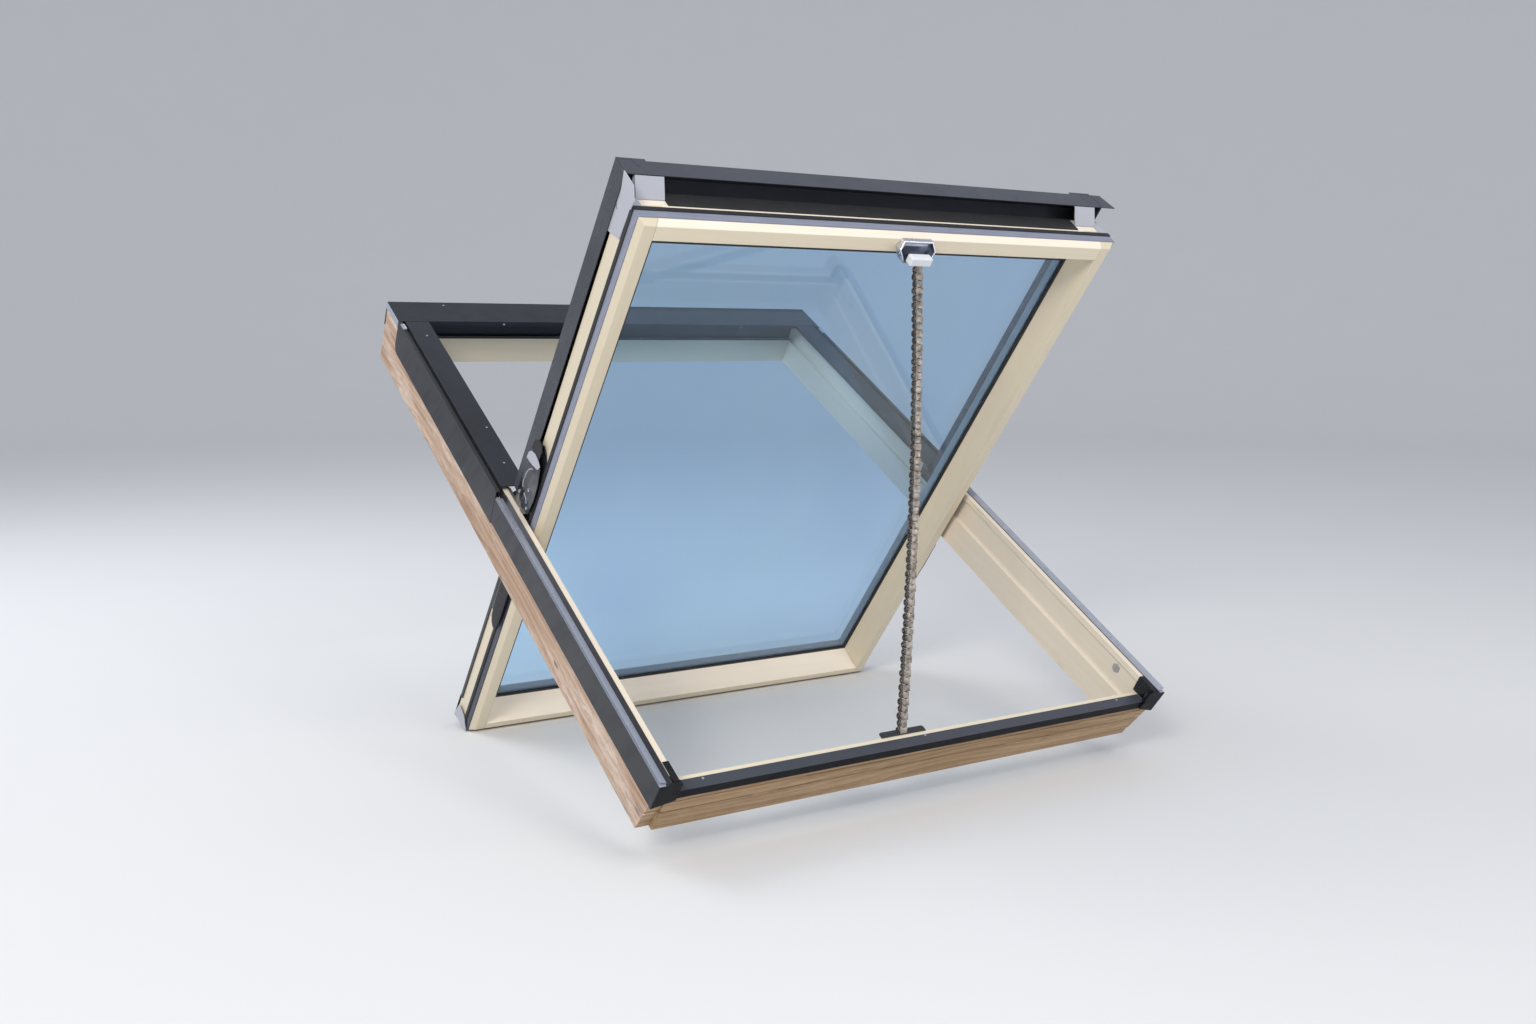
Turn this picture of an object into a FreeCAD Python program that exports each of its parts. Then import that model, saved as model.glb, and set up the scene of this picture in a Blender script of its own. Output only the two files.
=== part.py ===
import FreeCAD, Part
import math
import os

# Centre pivot roof window: a pine frame with aluminium cladding, and a glazed pine sash
# that stands open on its two side hinges, held by a push chain. Sizes are millimetres.
#
# Every piece is drawn in the plane of the roof: X runs across the window with 0 in the
# middle, Y runs up the slope from the lower end, Z points out of the roof with 0 on the
# lower side cladding. Sash pieces are drawn closed, with Y and Z taken from the pivot.

# Overall sizes and the pose in the roof
FRAME_WIDTH = 940.0
FRAME_LENGTH = 1262.0
FRAME_DEPTH = 105.0
ROOF_PITCH = 30.0
OPEN_ANGLE = 81.4
PIVOT_UP_SLOPE = 634.5
PIVOT_HEIGHT = 0.0

# Sheet metal and the small distances between pieces
SHEET = 1.5
SLIP = 0.2
COVER_JOINT = 1.0
MOVING_CLEARANCE = 5.0

# Timber frame
JAMB_THICKNESS = 27.0
LEDGE_DEPTH = 52.0
LEDGE_STEP = 6.0
LIP_HEIGHT = 5.0
LIP_WIDTH = 9.5
LIP_FACE = 10.0
EDGE_ROUND = 3.0
JAMB_END = 9.0
JAMB_UNDERCUT = 15.0
END_GROOVE_LEVEL = -70.0
CLADDING_REBATE = 0.3
BOTTOM_RAIL_TOP = -22.0
BOTTOM_RAIL_INNER = 28.0
BOTTOM_RAIL_FRONT = 3.5
BOTTOM_RAIL_UNDERCUT = 10.0
BOTTOM_LIP_WIDTH = 6.0
GROOVE_SIZE = 3.0
FIRST_GROOVE_DROP = 9.0
SECOND_GROOVE_DROP = 30.0
TOP_RAIL_THICKNESS = 24.5
TOP_RAIL_CHAMFER = 9.0

# Frame cladding
SIDE_CLADDING_HEIGHT = 46.0
UPPER_CLADDING_DROP = 49.0
CLADDING_LEAN = 6.0
CLADDING_FRONT = 2.5
FLANGE_WIDTH = 10.5
UPPER_COVER_HEIGHT = 13.0
UPPER_COVER_WIDTH = 45.0
UPPER_RIDGE_WIDTH = 7.0
COVER_GROOVE = 6.0
COVER_HEM = 6.0
CLADDING_CORNER = 16.0
CLADDING_SPLIT = 640.0
RAIL_CLADDING_DROP = 14.0
HOOD_WIDTH = 74.0
HOOD_LIP = 7.0
HOOD_BACK_DROP = 48.0
HOOD_END_DROP = 14.0
FLASHING_FOOT = 6.0
SEAL_SIZE = 6.0
END_CAP_LENGTH = 34.0
END_CAP_CHEEK = 6.5
END_CAP_CHEEK_LENGTH = 9.0

# Timber sash
SASH_SIDE_GAP = 7.5
SASH_LOWER_GAP = 8.0
SASH_UPPER_GAP = 54.0
SASH_INNER_LEVEL = -90.0
SASH_TIMBER_DEPTH = 66.0
SASH_BEVEL = 8.0
STILE_FACE = 26.5
BOTTOM_FACE = 31.0
TOP_FACE = 22.0
STILE_TO_GLASS = 47.0
BOTTOM_TO_GLASS = 55.0
TOP_TO_GLASS = 46.0
REVEAL_STEP = 5.0
REVEAL_STEP_HEIGHT = 14.0
GLASS_SEAT = 38.0
REBATE_WALL = 14.5

# Glazing
GASKET_THICKNESS = 3.0
GASKET_SHOWS = 5.0
PANE_THICKNESS = 4.0
PANE_GAP = 14.0
PANE_EDGE_GAP = 2.0
SPACER_SHOWS = 2.0
SPACER_WIDTH = 9.0

# Sash seals and cladding
SEAL_STRIP_THICKNESS = 1.6
SEAL_STRIP_HEIGHT = 14.0
WEATHER_SEAL_THICKNESS = 3.0
WEATHER_SEAL_HEIGHT = 8.0
SASH_COVER_TOP = 15.0
SASH_COVER_SIDE_GAP = 4.0
SASH_COVER_DROP = 36.0
SASH_COVER_WIDTH = 24.0
SASH_COVER_SLOPE = 14.0
SASH_COVER_START = 18.0
HINGE_WINDOW = 112.0
HINGE_WINDOW_TOP = -5.0
APRON_OVERHANG = 26.5
APRON_HEIGHT = 34.0
APRON_RUN = 26.0
APRON_TAB_LENGTH = 44.0
APRON_TAB_HEIGHT = 5.0
UPPER_TRIM_HEIGHT = 8.0
UPPER_TRIM_WIDTH = 27.0
UPPER_TRIM_SIDE = 2.0
TOP_WING = 24.0
TOP_WING_FOOT = 12.0

# Corner brackets
BRACKET_PLATE = 2.0
BRACKET_LEG = 66.0
BRACKET_HIGH = 73.0
BRACKET_FOOT = 49.0
BRACKET_FACE = 44.0
BRACKET_INSET = 12.0

# Hinges
ARM_THICKNESS = 2.4
ARM_DOWN = 148.0
ARM_UP = 290.0
ARM_GAP = 1.0
ARM_SHIELD = 8.0
PIN_RADIUS = 6.0
PIN_CLEARANCE = 0.3
BOSS_RADIUS = 14.0
HINGE_PLATE_THICKNESS = 3.0
HINGE_PLATE_REACH = 58.0
HINGE_PLATE_TOP = 9.0
HINGE_PLATE_BOTTOM = -40.0
POCKET_LENGTH = 96.0
POCKET_HEIGHT = 26.0
POCKET_DEPTH = 8.0
POCKET_LEVEL = -28.0
DISC_RADIUS = 8.5
DISC_THICKNESS = 2.0
DISC_UP_SLOPE = 85.0
DISC_LEVEL = -21.0

# Push chain opener
CHAIN_FOOT_X = -42.5
CHAIN_HEAD_X = 27.0
CHAIN_PITCH = 10.5
CHAIN_WIDTH = 18.0
LINK_SHARE = 0.62
PLATE_THICKNESS = 1.6
PLATE_HEIGHT = 9.0
PLATE_CORNERS = 8
ROLLER_CORNERS = 6
ROLLER_RADIUS = 3.4
CHAIN_BULGE = 8.5
OUTLET_LENGTH = 62.0
OUTLET_WIDTH = 5.0
OUTLET_THICKNESS = 1.5
MOUTH_CLEARANCE = 0.8
CHAIN_BRACKET_X = 26.0
CHAIN_BRACKET_WIDTH = 68.0
CHAIN_BRACKET_BACK = 54.0
CHAIN_BRACKET_FRONT = 43.0
CHAIN_BRACKET_HEIGHT = 33.0
CHAIN_BRACKET_DEPTH = 18.0
CHAIN_BRACKET_SHALLOW = 7.0
CHAIN_BRACKET_WALL = 2.5
CHAIN_BRACKET_EDGE = 6.0
BLOCK_WIDTH = 40.0
BLOCK_HEIGHT = 13.0
BLOCK_DEPTH = 14.0

# Places that follow from the sizes above
HALF_WIDTH = FRAME_WIDTH / 2
WOOD_HALF = HALF_WIDTH - SHEET
JAMB_INNER = WOOD_HALF - JAMB_THICKNESS
JAMB_RECESS = JAMB_INNER + LEDGE_STEP
LIP_INNER = JAMB_INNER + SHEET
LIP_OUTER = LIP_INNER + LIP_WIDTH
FLANGE_INNER = HALF_WIDTH - FLANGE_WIDTH
WOOD_TOP_END = FRAME_LENGTH - SHEET
TOP_RAIL_INNER = WOOD_TOP_END - TOP_RAIL_THICKNESS
TOP_RAIL_RECESS = TOP_RAIL_INNER + LEDGE_STEP
HOOD_EDGE = FRAME_LENGTH - HOOD_WIDTH
COVER_END = HOOD_EDGE - COVER_JOINT
UPPER_COVER_OUTER = HALF_WIDTH - UPPER_RIDGE_WIDTH - COVER_GROOVE
UPPER_COVER_INNER = UPPER_COVER_OUTER - UPPER_COVER_WIDTH
SASH_COVER_HIGHEST = SASH_COVER_TOP
UPPER_COVER_START = PIVOT_UP_SLOPE + SASH_COVER_HIGHEST + MOVING_CLEARANCE
SASH_HALF = LIP_INNER - SASH_SIDE_GAP
SASH_BELOW_PIVOT = PIVOT_UP_SLOPE - BOTTOM_RAIL_INNER - SASH_LOWER_GAP
SASH_ABOVE_PIVOT = HOOD_EDGE - SASH_UPPER_GAP - PIVOT_UP_SLOPE
SASH_TOP_FACE = SASH_INNER_LEVEL + SASH_TIMBER_DEPTH
SEAT_LEVEL = SASH_INNER_LEVEL + GLASS_SEAT
INNER_PANE_LEVEL = SEAT_LEVEL + GASKET_THICKNESS
SPACER_LEVEL = INNER_PANE_LEVEL + PANE_THICKNESS
OUTER_PANE_LEVEL = SPACER_LEVEL + PANE_GAP
GLASS_TOP = OUTER_PANE_LEVEL + PANE_THICKNESS
SEAL_STRIP_LOW = SASH_INNER_LEVEL + SASH_BEVEL
WEATHER_SEAL_LOW = SEAL_STRIP_LOW + SEAL_STRIP_HEIGHT
COVER_SIDE = SASH_HALF + SASH_COVER_SIDE_GAP
UPPER_TRIM_TOP = SASH_TOP_FACE + SHEET
ARM_LOW = WEATHER_SEAL_LOW + WEATHER_SEAL_HEIGHT + ARM_GAP
ARM_HIGH = UPPER_TRIM_TOP - UPPER_TRIM_HEIGHT - ARM_GAP
APRON_FRONT = -SASH_BELOW_PIVOT - APRON_OVERHANG
APRON_TOP = SASH_COVER_TOP - SHEET
OUTLET_ROOM = CHAIN_PITCH * LINK_SHARE - PIN_CLEARANCE
CHAIN_FOOT_Y = BOTTOM_RAIL_INNER + OUTLET_THICKNESS + OUTLET_ROOM + PIN_CLEARANCE


def vector(x, y, z):
    return FreeCAD.Vector(x, y, z)


def face_of(corners):
    """Flat face with straight edges through the given corners."""
    return Part.Face(Part.makePolygon(corners + [corners[0]]))


def along_slope(outline, start, end):
    """Bar that runs up the slope; the outline is (x, z) pairs."""
    face = face_of([vector(x, start, z) for x, z in outline])
    return face.extrude(vector(0, end - start, 0))


def across(outline, start, end):
    """Bar that runs across the window; the outline is (y, z) pairs."""
    face = face_of([vector(start, y, z) for y, z in outline])
    return face.extrude(vector(end - start, 0, 0))


def rounded_plate(outline, radius, level, thickness, place):
    """Plate with rounded corners; place turns (a, b, level) into a point."""
    count = len(outline)
    edges = []
    joints = []
    for index in range(count):
        corner = vector(outline[index][0], outline[index][1], 0)
        before = vector(outline[index - 1][0], outline[index - 1][1], 0)
        after = vector(outline[(index + 1) % count][0], outline[(index + 1) % count][1], 0)
        back = (before - corner).normalize()
        ahead = (after - corner).normalize()
        half = back.getAngle(ahead) / 2
        setback = radius / math.tan(half)
        middle = (back + ahead).normalize() * (radius / math.sin(half) - radius)
        joints.append((corner + back * setback, corner + middle, corner + ahead * setback))
    for index in range(count):
        start, bend, end = [vector(*place(p.x, p.y, level)) for p in joints[index]]
        following = vector(*place(joints[(index + 1) % count][0].x, joints[(index + 1) % count][0].y, level))
        edges.append(Part.Arc(start, bend, end).toShape())
        if (following - end).Length > 0.01:
            edges.append(Part.LineSegment(end, following).toShape())
    face = Part.Face(Part.Wire(edges))
    direction = vector(*place(0, 0, thickness)) - vector(*place(0, 0, 0))
    return face.extrude(direction)


def on_side(a, b, level):
    """Outline (y, z) on a plane across X."""
    return (level, a, b)


def on_front(a, b, level):
    """Outline (x, z) on a plane across Y."""
    return (a, level, b)


def on_face(a, b, level):
    """Outline (x, y) on a plane across Z."""
    return (a, b, level)


def sheet_outline(path, thickness):
    """Closed outline of a bent sheet: the path and the same path one thickness to its left."""
    inner = []
    for index, (a, b) in enumerate(path):
        normals = []
        if index > 0:
            normals.append(left_normal(path[index - 1], path[index]))
        if index < len(path) - 1:
            normals.append(left_normal(path[index], path[index + 1]))
        na = sum(n[0] for n in normals)
        nb = sum(n[1] for n in normals)
        reach = thickness * len(normals) / (na * na + nb * nb)
        inner.append((a + na * reach, b + nb * reach))
    return path + inner[::-1]


def left_normal(start, end):
    """Unit normal to the left of the line from start to end."""
    da = end[0] - start[0]
    db = end[1] - start[1]
    length = math.hypot(da, db)
    return (-db / length, da / length)


def mirrored(shape):
    """The same piece on the left side of the window."""
    return shape.mirror(vector(0, 0, 0), vector(1, 0, 0))


def box(low, high):
    """Block between two opposite corners."""
    size = [b - a for a, b in zip(low, high)]
    return Part.makeBox(size[0], size[1], size[2], vector(*low))


def frame_jamb():
    """Right jamb: lip for the cladding at the top, ledge for the sash seal lower down."""
    cove_start = vector(JAMB_RECESS, JAMB_END, -LEDGE_DEPTH + LEDGE_STEP)
    bend = LEDGE_STEP * (1 - math.sqrt(0.5))
    cove_bend = vector(JAMB_RECESS - bend, JAMB_END, -LEDGE_DEPTH + bend)
    cove_end = vector(JAMB_INNER, JAMB_END, -LEDGE_DEPTH)
    corners = [
        vector(JAMB_INNER, JAMB_END, -FRAME_DEPTH),
        vector(WOOD_HALF, JAMB_END, -FRAME_DEPTH),
        vector(WOOD_HALF, JAMB_END, -SIDE_CLADDING_HEIGHT),
        vector(WOOD_HALF - CLADDING_REBATE, JAMB_END, -SIDE_CLADDING_HEIGHT),
        vector(WOOD_HALF - CLADDING_REBATE, JAMB_END, -SHEET),
        vector(FLANGE_INNER, JAMB_END, -SHEET),
        vector(LIP_OUTER, JAMB_END, LIP_HEIGHT),
        vector(LIP_INNER, JAMB_END, LIP_HEIGHT),
        vector(LIP_INNER, JAMB_END, LIP_HEIGHT - LIP_FACE),
        vector(JAMB_RECESS, JAMB_END, LIP_HEIGHT - LIP_FACE - LEDGE_STEP),
        cove_start,
    ]
    edges = [Part.LineSegment(a, b).toShape() for a, b in zip(corners, corners[1:])]
    edges.append(Part.Arc(cove_start, cove_bend, cove_end).toShape())
    edges.append(Part.LineSegment(cove_end, corners[0]).toShape())
    jamb = Part.Face(Part.Wire(edges)).extrude(vector(0, WOOD_TOP_END - JAMB_END, 0))
    undercut = [
        (JAMB_END - SLIP, -SIDE_CLADDING_HEIGHT),
        (JAMB_END + JAMB_UNDERCUT, -FRAME_DEPTH - SLIP),
        (JAMB_END - SLIP, -FRAME_DEPTH - SLIP),
    ]
    jamb = jamb.cut(across(undercut, JAMB_INNER - SHEET, HALF_WIDTH))
    slant = JAMB_UNDERCUT / (FRAME_DEPTH - SIDE_CLADDING_HEIGHT)
    groove_front = JAMB_END - slant * (SIDE_CLADDING_HEIGHT + END_GROOVE_LEVEL)
    end_groove = [
        (groove_front - GROOVE_SIZE, END_GROOVE_LEVEL + GROOVE_SIZE),
        (groove_front + GROOVE_SIZE, END_GROOVE_LEVEL),
        (groove_front - GROOVE_SIZE, END_GROOVE_LEVEL - GROOVE_SIZE),
    ]
    jamb = jamb.cut(across(end_groove, JAMB_INNER - SHEET, HALF_WIDTH))
    rebate = box(
        (WOOD_HALF - CLADDING_REBATE, CLADDING_SPLIT, -UPPER_CLADDING_DROP),
        (HALF_WIDTH, WOOD_TOP_END + SLIP, -SIDE_CLADDING_HEIGHT + SLIP),
    )
    jamb = jamb.cut(rebate)
    half_length = POCKET_LENGTH / 2
    half_height = POCKET_HEIGHT / 2
    pocket = [
        (PIVOT_UP_SLOPE - half_length, POCKET_LEVEL - half_height),
        (PIVOT_UP_SLOPE + half_length, POCKET_LEVEL - half_height),
        (PIVOT_UP_SLOPE + half_length, POCKET_LEVEL + half_height),
        (PIVOT_UP_SLOPE - half_length, POCKET_LEVEL + half_height),
    ]
    cutter = rounded_plate(pocket, half_height - SLIP, JAMB_INNER - SLIP, POCKET_DEPTH + LEDGE_STEP, on_side)
    return jamb.cut(cutter)


def frame_bottom_rail(jambs):
    """Lower cross rail: lip on the inside, two grooves along the undercut front."""
    front = BOTTOM_RAIL_FRONT + SHEET
    cladding_end = BOTTOM_RAIL_TOP - RAIL_CLADDING_DROP
    outline = [
        (front, BOTTOM_RAIL_TOP - SHEET),
        (BOTTOM_RAIL_INNER - BOTTOM_LIP_WIDTH, BOTTOM_RAIL_TOP - SHEET),
        (BOTTOM_RAIL_INNER - BOTTOM_LIP_WIDTH, BOTTOM_RAIL_TOP),
        (BOTTOM_RAIL_INNER, BOTTOM_RAIL_TOP),
        (BOTTOM_RAIL_INNER, -FRAME_DEPTH),
        (front + BOTTOM_RAIL_UNDERCUT, -FRAME_DEPTH),
        (front, cladding_end),
    ]
    rail = across(outline, -JAMB_RECESS, JAMB_RECESS)
    lean = BOTTOM_RAIL_UNDERCUT / (FRAME_DEPTH + cladding_end)
    for drop in (FIRST_GROOVE_DROP, SECOND_GROOVE_DROP):
        surface = front + lean * drop
        level = cladding_end - drop
        groove = [
            (surface - GROOVE_SIZE, level + GROOVE_SIZE),
            (surface + GROOVE_SIZE, level),
            (surface - GROOVE_SIZE, level - GROOVE_SIZE),
        ]
        rail = rail.cut(across(groove, -HALF_WIDTH, HALF_WIDTH))
    for jamb in jambs:
        rail = rail.cut(jamb)
    return rail


def frame_top_rail(jambs):
    """Upper cross rail with the same ledge as the jambs."""
    outline = [
        (TOP_RAIL_INNER, -FRAME_DEPTH),
        (TOP_RAIL_INNER, -LEDGE_DEPTH),
        (TOP_RAIL_RECESS, -LEDGE_DEPTH),
        (TOP_RAIL_RECESS, LIP_HEIGHT),
        (WOOD_TOP_END - CLADDING_REBATE, LIP_HEIGHT),
        (WOOD_TOP_END - CLADDING_REBATE, UPPER_COVER_HEIGHT - HOOD_BACK_DROP),
        (WOOD_TOP_END, UPPER_COVER_HEIGHT - HOOD_BACK_DROP),
        (WOOD_TOP_END, -FRAME_DEPTH + TOP_RAIL_CHAMFER),
        (WOOD_TOP_END - TOP_RAIL_CHAMFER, -FRAME_DEPTH),
    ]
    rail = across(outline, -JAMB_RECESS, JAMB_RECESS)
    for jamb in jambs:
        rail = rail.cut(jamb)
    return rail


def leaning_front(start):
    """Room in front of the leaning lower end of the side cladding, for cutting."""
    low = -SIDE_CLADDING_HEIGHT - SHEET
    lean = CLADDING_LEAN / SIDE_CLADDING_HEIGHT
    outline = [
        (start - HOOD_WIDTH, HOOD_WIDTH),
        (start - lean * HOOD_WIDTH, HOOD_WIDTH),
        (start - lean * low, low),
        (start - HOOD_WIDTH, low),
    ]
    return across(outline, JAMB_INNER - HOOD_WIDTH, HALF_WIDTH + SHEET)


def lower_side_cladding():
    """Right side cladding below the hinge: side, flat flange and slope up to the lip."""
    outline = [
        (LIP_OUTER, LIP_HEIGHT + SHEET),
        (FLANGE_INNER + SLIP, 0),
        (HALF_WIDTH, 0),
        (HALF_WIDTH, -SIDE_CLADDING_HEIGHT),
        (WOOD_HALF, -SIDE_CLADDING_HEIGHT),
        (WOOD_HALF, -SHEET),
        (FLANGE_INNER, -SHEET),
        (LIP_OUTER, LIP_HEIGHT),
    ]
    cladding = along_slope(outline, -CLADDING_FRONT, CLADDING_SPLIT)
    return cladding.cut(leaning_front(-CLADDING_FRONT))


def upper_side_cladding():
    """Right side cladding above the hinge, folded up to the height of the upper cover."""
    ridge_inner = HALF_WIDTH - UPPER_RIDGE_WIDTH
    path = [
        (ridge_inner, -SHEET),
        (ridge_inner, UPPER_COVER_HEIGHT),
        (HALF_WIDTH, UPPER_COVER_HEIGHT),
        (HALF_WIDTH, -UPPER_CLADDING_DROP),
    ]
    outline = sheet_outline(path[::-1], SHEET)
    cladding = along_slope(outline, CLADDING_SPLIT + COVER_JOINT, COVER_END)
    corner = CLADDING_CORNER
    low = -UPPER_CLADDING_DROP
    block = box((WOOD_HALF - SHEET, COVER_END - corner, low - SHEET), (HALF_WIDTH + SHEET, COVER_END + SHEET, low + corner))
    centre = vector(WOOD_HALF - SHEET, COVER_END - corner, low + corner)
    round_off = Part.makeCylinder(corner, SHEET * 3, centre, vector(1, 0, 0))
    return cladding.cut(block.cut(round_off))


def upper_cover():
    """Fixed cover beside the upper half of the glass, open towards the jamb."""
    path = [
        (UPPER_COVER_OUTER, LIP_HEIGHT - SHEET),
        (UPPER_COVER_OUTER, UPPER_COVER_HEIGHT),
        (UPPER_COVER_INNER, UPPER_COVER_HEIGHT),
        (UPPER_COVER_INNER, UPPER_COVER_HEIGHT - COVER_HEM),
    ]
    return along_slope(sheet_outline(path, SHEET), UPPER_COVER_START, COVER_END)


def top_hood():
    """Hood over the upper end, with a front lip, a back drop and closed ends."""
    path = [
        (HOOD_EDGE, UPPER_COVER_HEIGHT - HOOD_LIP),
        (HOOD_EDGE, UPPER_COVER_HEIGHT),
        (FRAME_LENGTH, UPPER_COVER_HEIGHT),
        (FRAME_LENGTH, UPPER_COVER_HEIGHT - HOOD_BACK_DROP),
    ]
    outline = sheet_outline(path[::-1], SHEET)
    hood = across(outline, -HALF_WIDTH, HALF_WIDTH)
    low = UPPER_COVER_HEIGHT - HOOD_END_DROP
    for side in (-HALF_WIDTH, HALF_WIDTH - SHEET):
        end_plate = box((side, HOOD_EDGE, low), (side + SHEET, FRAME_LENGTH, UPPER_COVER_HEIGHT))
        hood = hood.fuse(end_plate)
    return hood.removeSplitter()


def top_inner_flashing():
    """Upright sheet on the inner side of the top rail, below the hood."""
    low = -LEDGE_DEPTH + SEAL_SIZE
    path = [
        (TOP_RAIL_RECESS + FLASHING_FOOT, LIP_HEIGHT + SHEET),
        (TOP_RAIL_RECESS - SHEET, LIP_HEIGHT + SHEET),
        (TOP_RAIL_RECESS - SHEET, low),
    ]
    reach = LIP_INNER - SLIP
    return across(sheet_outline(path, SHEET), -reach, reach)


def frame_top_seal():
    """Black seal strip on the ledge of the top rail."""
    low = -LEDGE_DEPTH
    reach = JAMB_INNER - SLIP
    return box((-reach, TOP_RAIL_INNER, low), (reach, TOP_RAIL_RECESS, low + SEAL_SIZE))


def bottom_rail_cladding():
    """Folded sheet over the top and front of the bottom rail."""
    top = BOTTOM_RAIL_TOP
    path = [
        (BOTTOM_RAIL_FRONT, top - RAIL_CLADDING_DROP),
        (BOTTOM_RAIL_FRONT, top),
        (BOTTOM_RAIL_INNER - BOTTOM_LIP_WIDTH, top),
    ]
    reach = LIP_INNER - SHEET - SLIP
    return across(sheet_outline(path[::-1], SHEET), -reach, reach)


def end_cap():
    """Dark cap on the lower end of the right jamb: leaning front plate, cheek and hood over the lip."""
    inner = LIP_INNER - SHEET
    top = LIP_HEIGHT + SHEET
    cheek = inner - END_CAP_CHEEK
    rail_level = BOTTOM_RAIL_TOP + SLIP
    plate_outline = [
        (HALF_WIDTH, -SIDE_CLADDING_HEIGHT),
        (HALF_WIDTH, 0),
        (FLANGE_INNER, 0),
        (LIP_OUTER, top),
        (inner, top),
        (cheek, 0),
        (cheek, BOTTOM_RAIL_TOP - RAIL_CLADDING_DROP),
    ]
    plate = along_slope(plate_outline, -HOOD_WIDTH, HOOD_WIDTH)
    plate = plate.cut(leaning_front(-CLADDING_FRONT - SHEET))
    plate = plate.common(leaning_front(-CLADDING_FRONT))
    hood_outline = [
        (LIP_OUTER - SHEET, top),
        (inner, top),
        (inner, rail_level),
        (LIP_INNER - SLIP, rail_level),
        (LIP_INNER - SLIP, LIP_HEIGHT),
        (LIP_OUTER - SHEET, LIP_HEIGHT),
    ]
    hood = along_slope(hood_outline, -CLADDING_FRONT, END_CAP_LENGTH)
    cheek_outline = [
        (inner + SHEET / 2, -CLADDING_FRONT),
        (inner + SHEET / 2, END_CAP_CHEEK_LENGTH),
        (inner - SHEET, END_CAP_CHEEK_LENGTH),
        (cheek, END_CAP_CHEEK_LENGTH - END_CAP_CHEEK),
        (cheek, -CLADDING_FRONT),
    ]
    flank = face_of([vector(x, y, rail_level) for x, y in cheek_outline])
    flank = flank.extrude(vector(0, 0, -rail_level))
    return plate.fuse(hood).fuse(flank).removeSplitter()


def hinge_plate():
    """Frame half of the right hinge: rounded plate on the jamb with the pin hole."""
    outline = [
        (PIVOT_UP_SLOPE - HINGE_PLATE_REACH, HINGE_PLATE_BOTTOM),
        (PIVOT_UP_SLOPE + HINGE_PLATE_REACH, HINGE_PLATE_BOTTOM),
        (PIVOT_UP_SLOPE + HINGE_PLATE_REACH, LIP_HEIGHT - LIP_FACE),
        (PIVOT_UP_SLOPE + BOSS_RADIUS + PIN_RADIUS, HINGE_PLATE_TOP),
        (PIVOT_UP_SLOPE - BOSS_RADIUS - PIN_RADIUS, HINGE_PLATE_TOP),
        (PIVOT_UP_SLOPE - HINGE_PLATE_REACH, LIP_HEIGHT - LIP_FACE),
    ]
    level = LIP_INNER - HINGE_PLATE_THICKNESS
    plate = rounded_plate(outline, PIN_RADIUS, level, HINGE_PLATE_THICKNESS, on_side)
    centre = vector(level - SLIP, PIVOT_UP_SLOPE, PIVOT_HEIGHT)
    bore = Part.makeCylinder(PIN_RADIUS + PIN_CLEARANCE, HINGE_PLATE_THICKNESS * 2, centre, vector(1, 0, 0))
    return plate.cut(bore)


def lock_disc():
    """Round grey catch on the inner side of the right jamb."""
    centre = vector(JAMB_RECESS - DISC_THICKNESS, DISC_UP_SLOPE, DISC_LEVEL)
    disc = Part.makeCylinder(DISC_RADIUS, DISC_THICKNESS, centre, vector(1, 0, 0))
    slot = box(
        (JAMB_RECESS - DISC_THICKNESS * 1.5, DISC_UP_SLOPE - DISC_RADIUS / 2, DISC_LEVEL - SHEET / 2),
        (JAMB_RECESS - DISC_THICKNESS / 2, DISC_UP_SLOPE + DISC_RADIUS / 2, DISC_LEVEL + SHEET / 2),
    )
    return disc.cut(slot)


def chain_outlet_plate():
    """Thin dark plate on the inner edge of the bottom rail, where the chain comes out."""
    half = OUTLET_LENGTH / 2
    low = BOTTOM_RAIL_TOP - OUTLET_WIDTH
    top = BOTTOM_RAIL_TOP + OUTLET_THICKNESS
    upright = box(
        (CHAIN_FOOT_X - half, BOTTOM_RAIL_INNER, low),
        (CHAIN_FOOT_X + half, BOTTOM_RAIL_INNER + OUTLET_THICKNESS, BOTTOM_RAIL_TOP),
    )
    flange = box(
        (CHAIN_FOOT_X - half, BOTTOM_RAIL_INNER - OUTLET_WIDTH / 2, BOTTOM_RAIL_TOP),
        (CHAIN_FOOT_X + half, CHAIN_FOOT_Y + OUTLET_ROOM + OUTLET_THICKNESS, top),
    )
    slot_half = CHAIN_WIDTH / 2 + MOUTH_CLEARANCE
    slot = box(
        (CHAIN_FOOT_X - slot_half, CHAIN_FOOT_Y - OUTLET_ROOM, BOTTOM_RAIL_TOP - SLIP),
        (CHAIN_FOOT_X + slot_half, CHAIN_FOOT_Y + OUTLET_ROOM, top + SLIP),
    )
    return upright.fuse(flange).cut(slot).removeSplitter()


def sash_profile(outer, face_width, to_glass):
    """Outline of a sash bar as (distance from the middle, height) pairs."""
    return [
        (outer, SASH_INNER_LEVEL + SASH_BEVEL),
        (outer, SASH_TOP_FACE),
        (outer - REBATE_WALL, SASH_TOP_FACE),
        (outer - REBATE_WALL, SEAT_LEVEL),
        (outer - to_glass, SEAT_LEVEL),
        (outer - face_width - REVEAL_STEP, SASH_INNER_LEVEL + REVEAL_STEP_HEIGHT),
        (outer - face_width, SASH_INNER_LEVEL),
        (outer - SASH_BEVEL, SASH_INNER_LEVEL),
    ]


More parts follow.
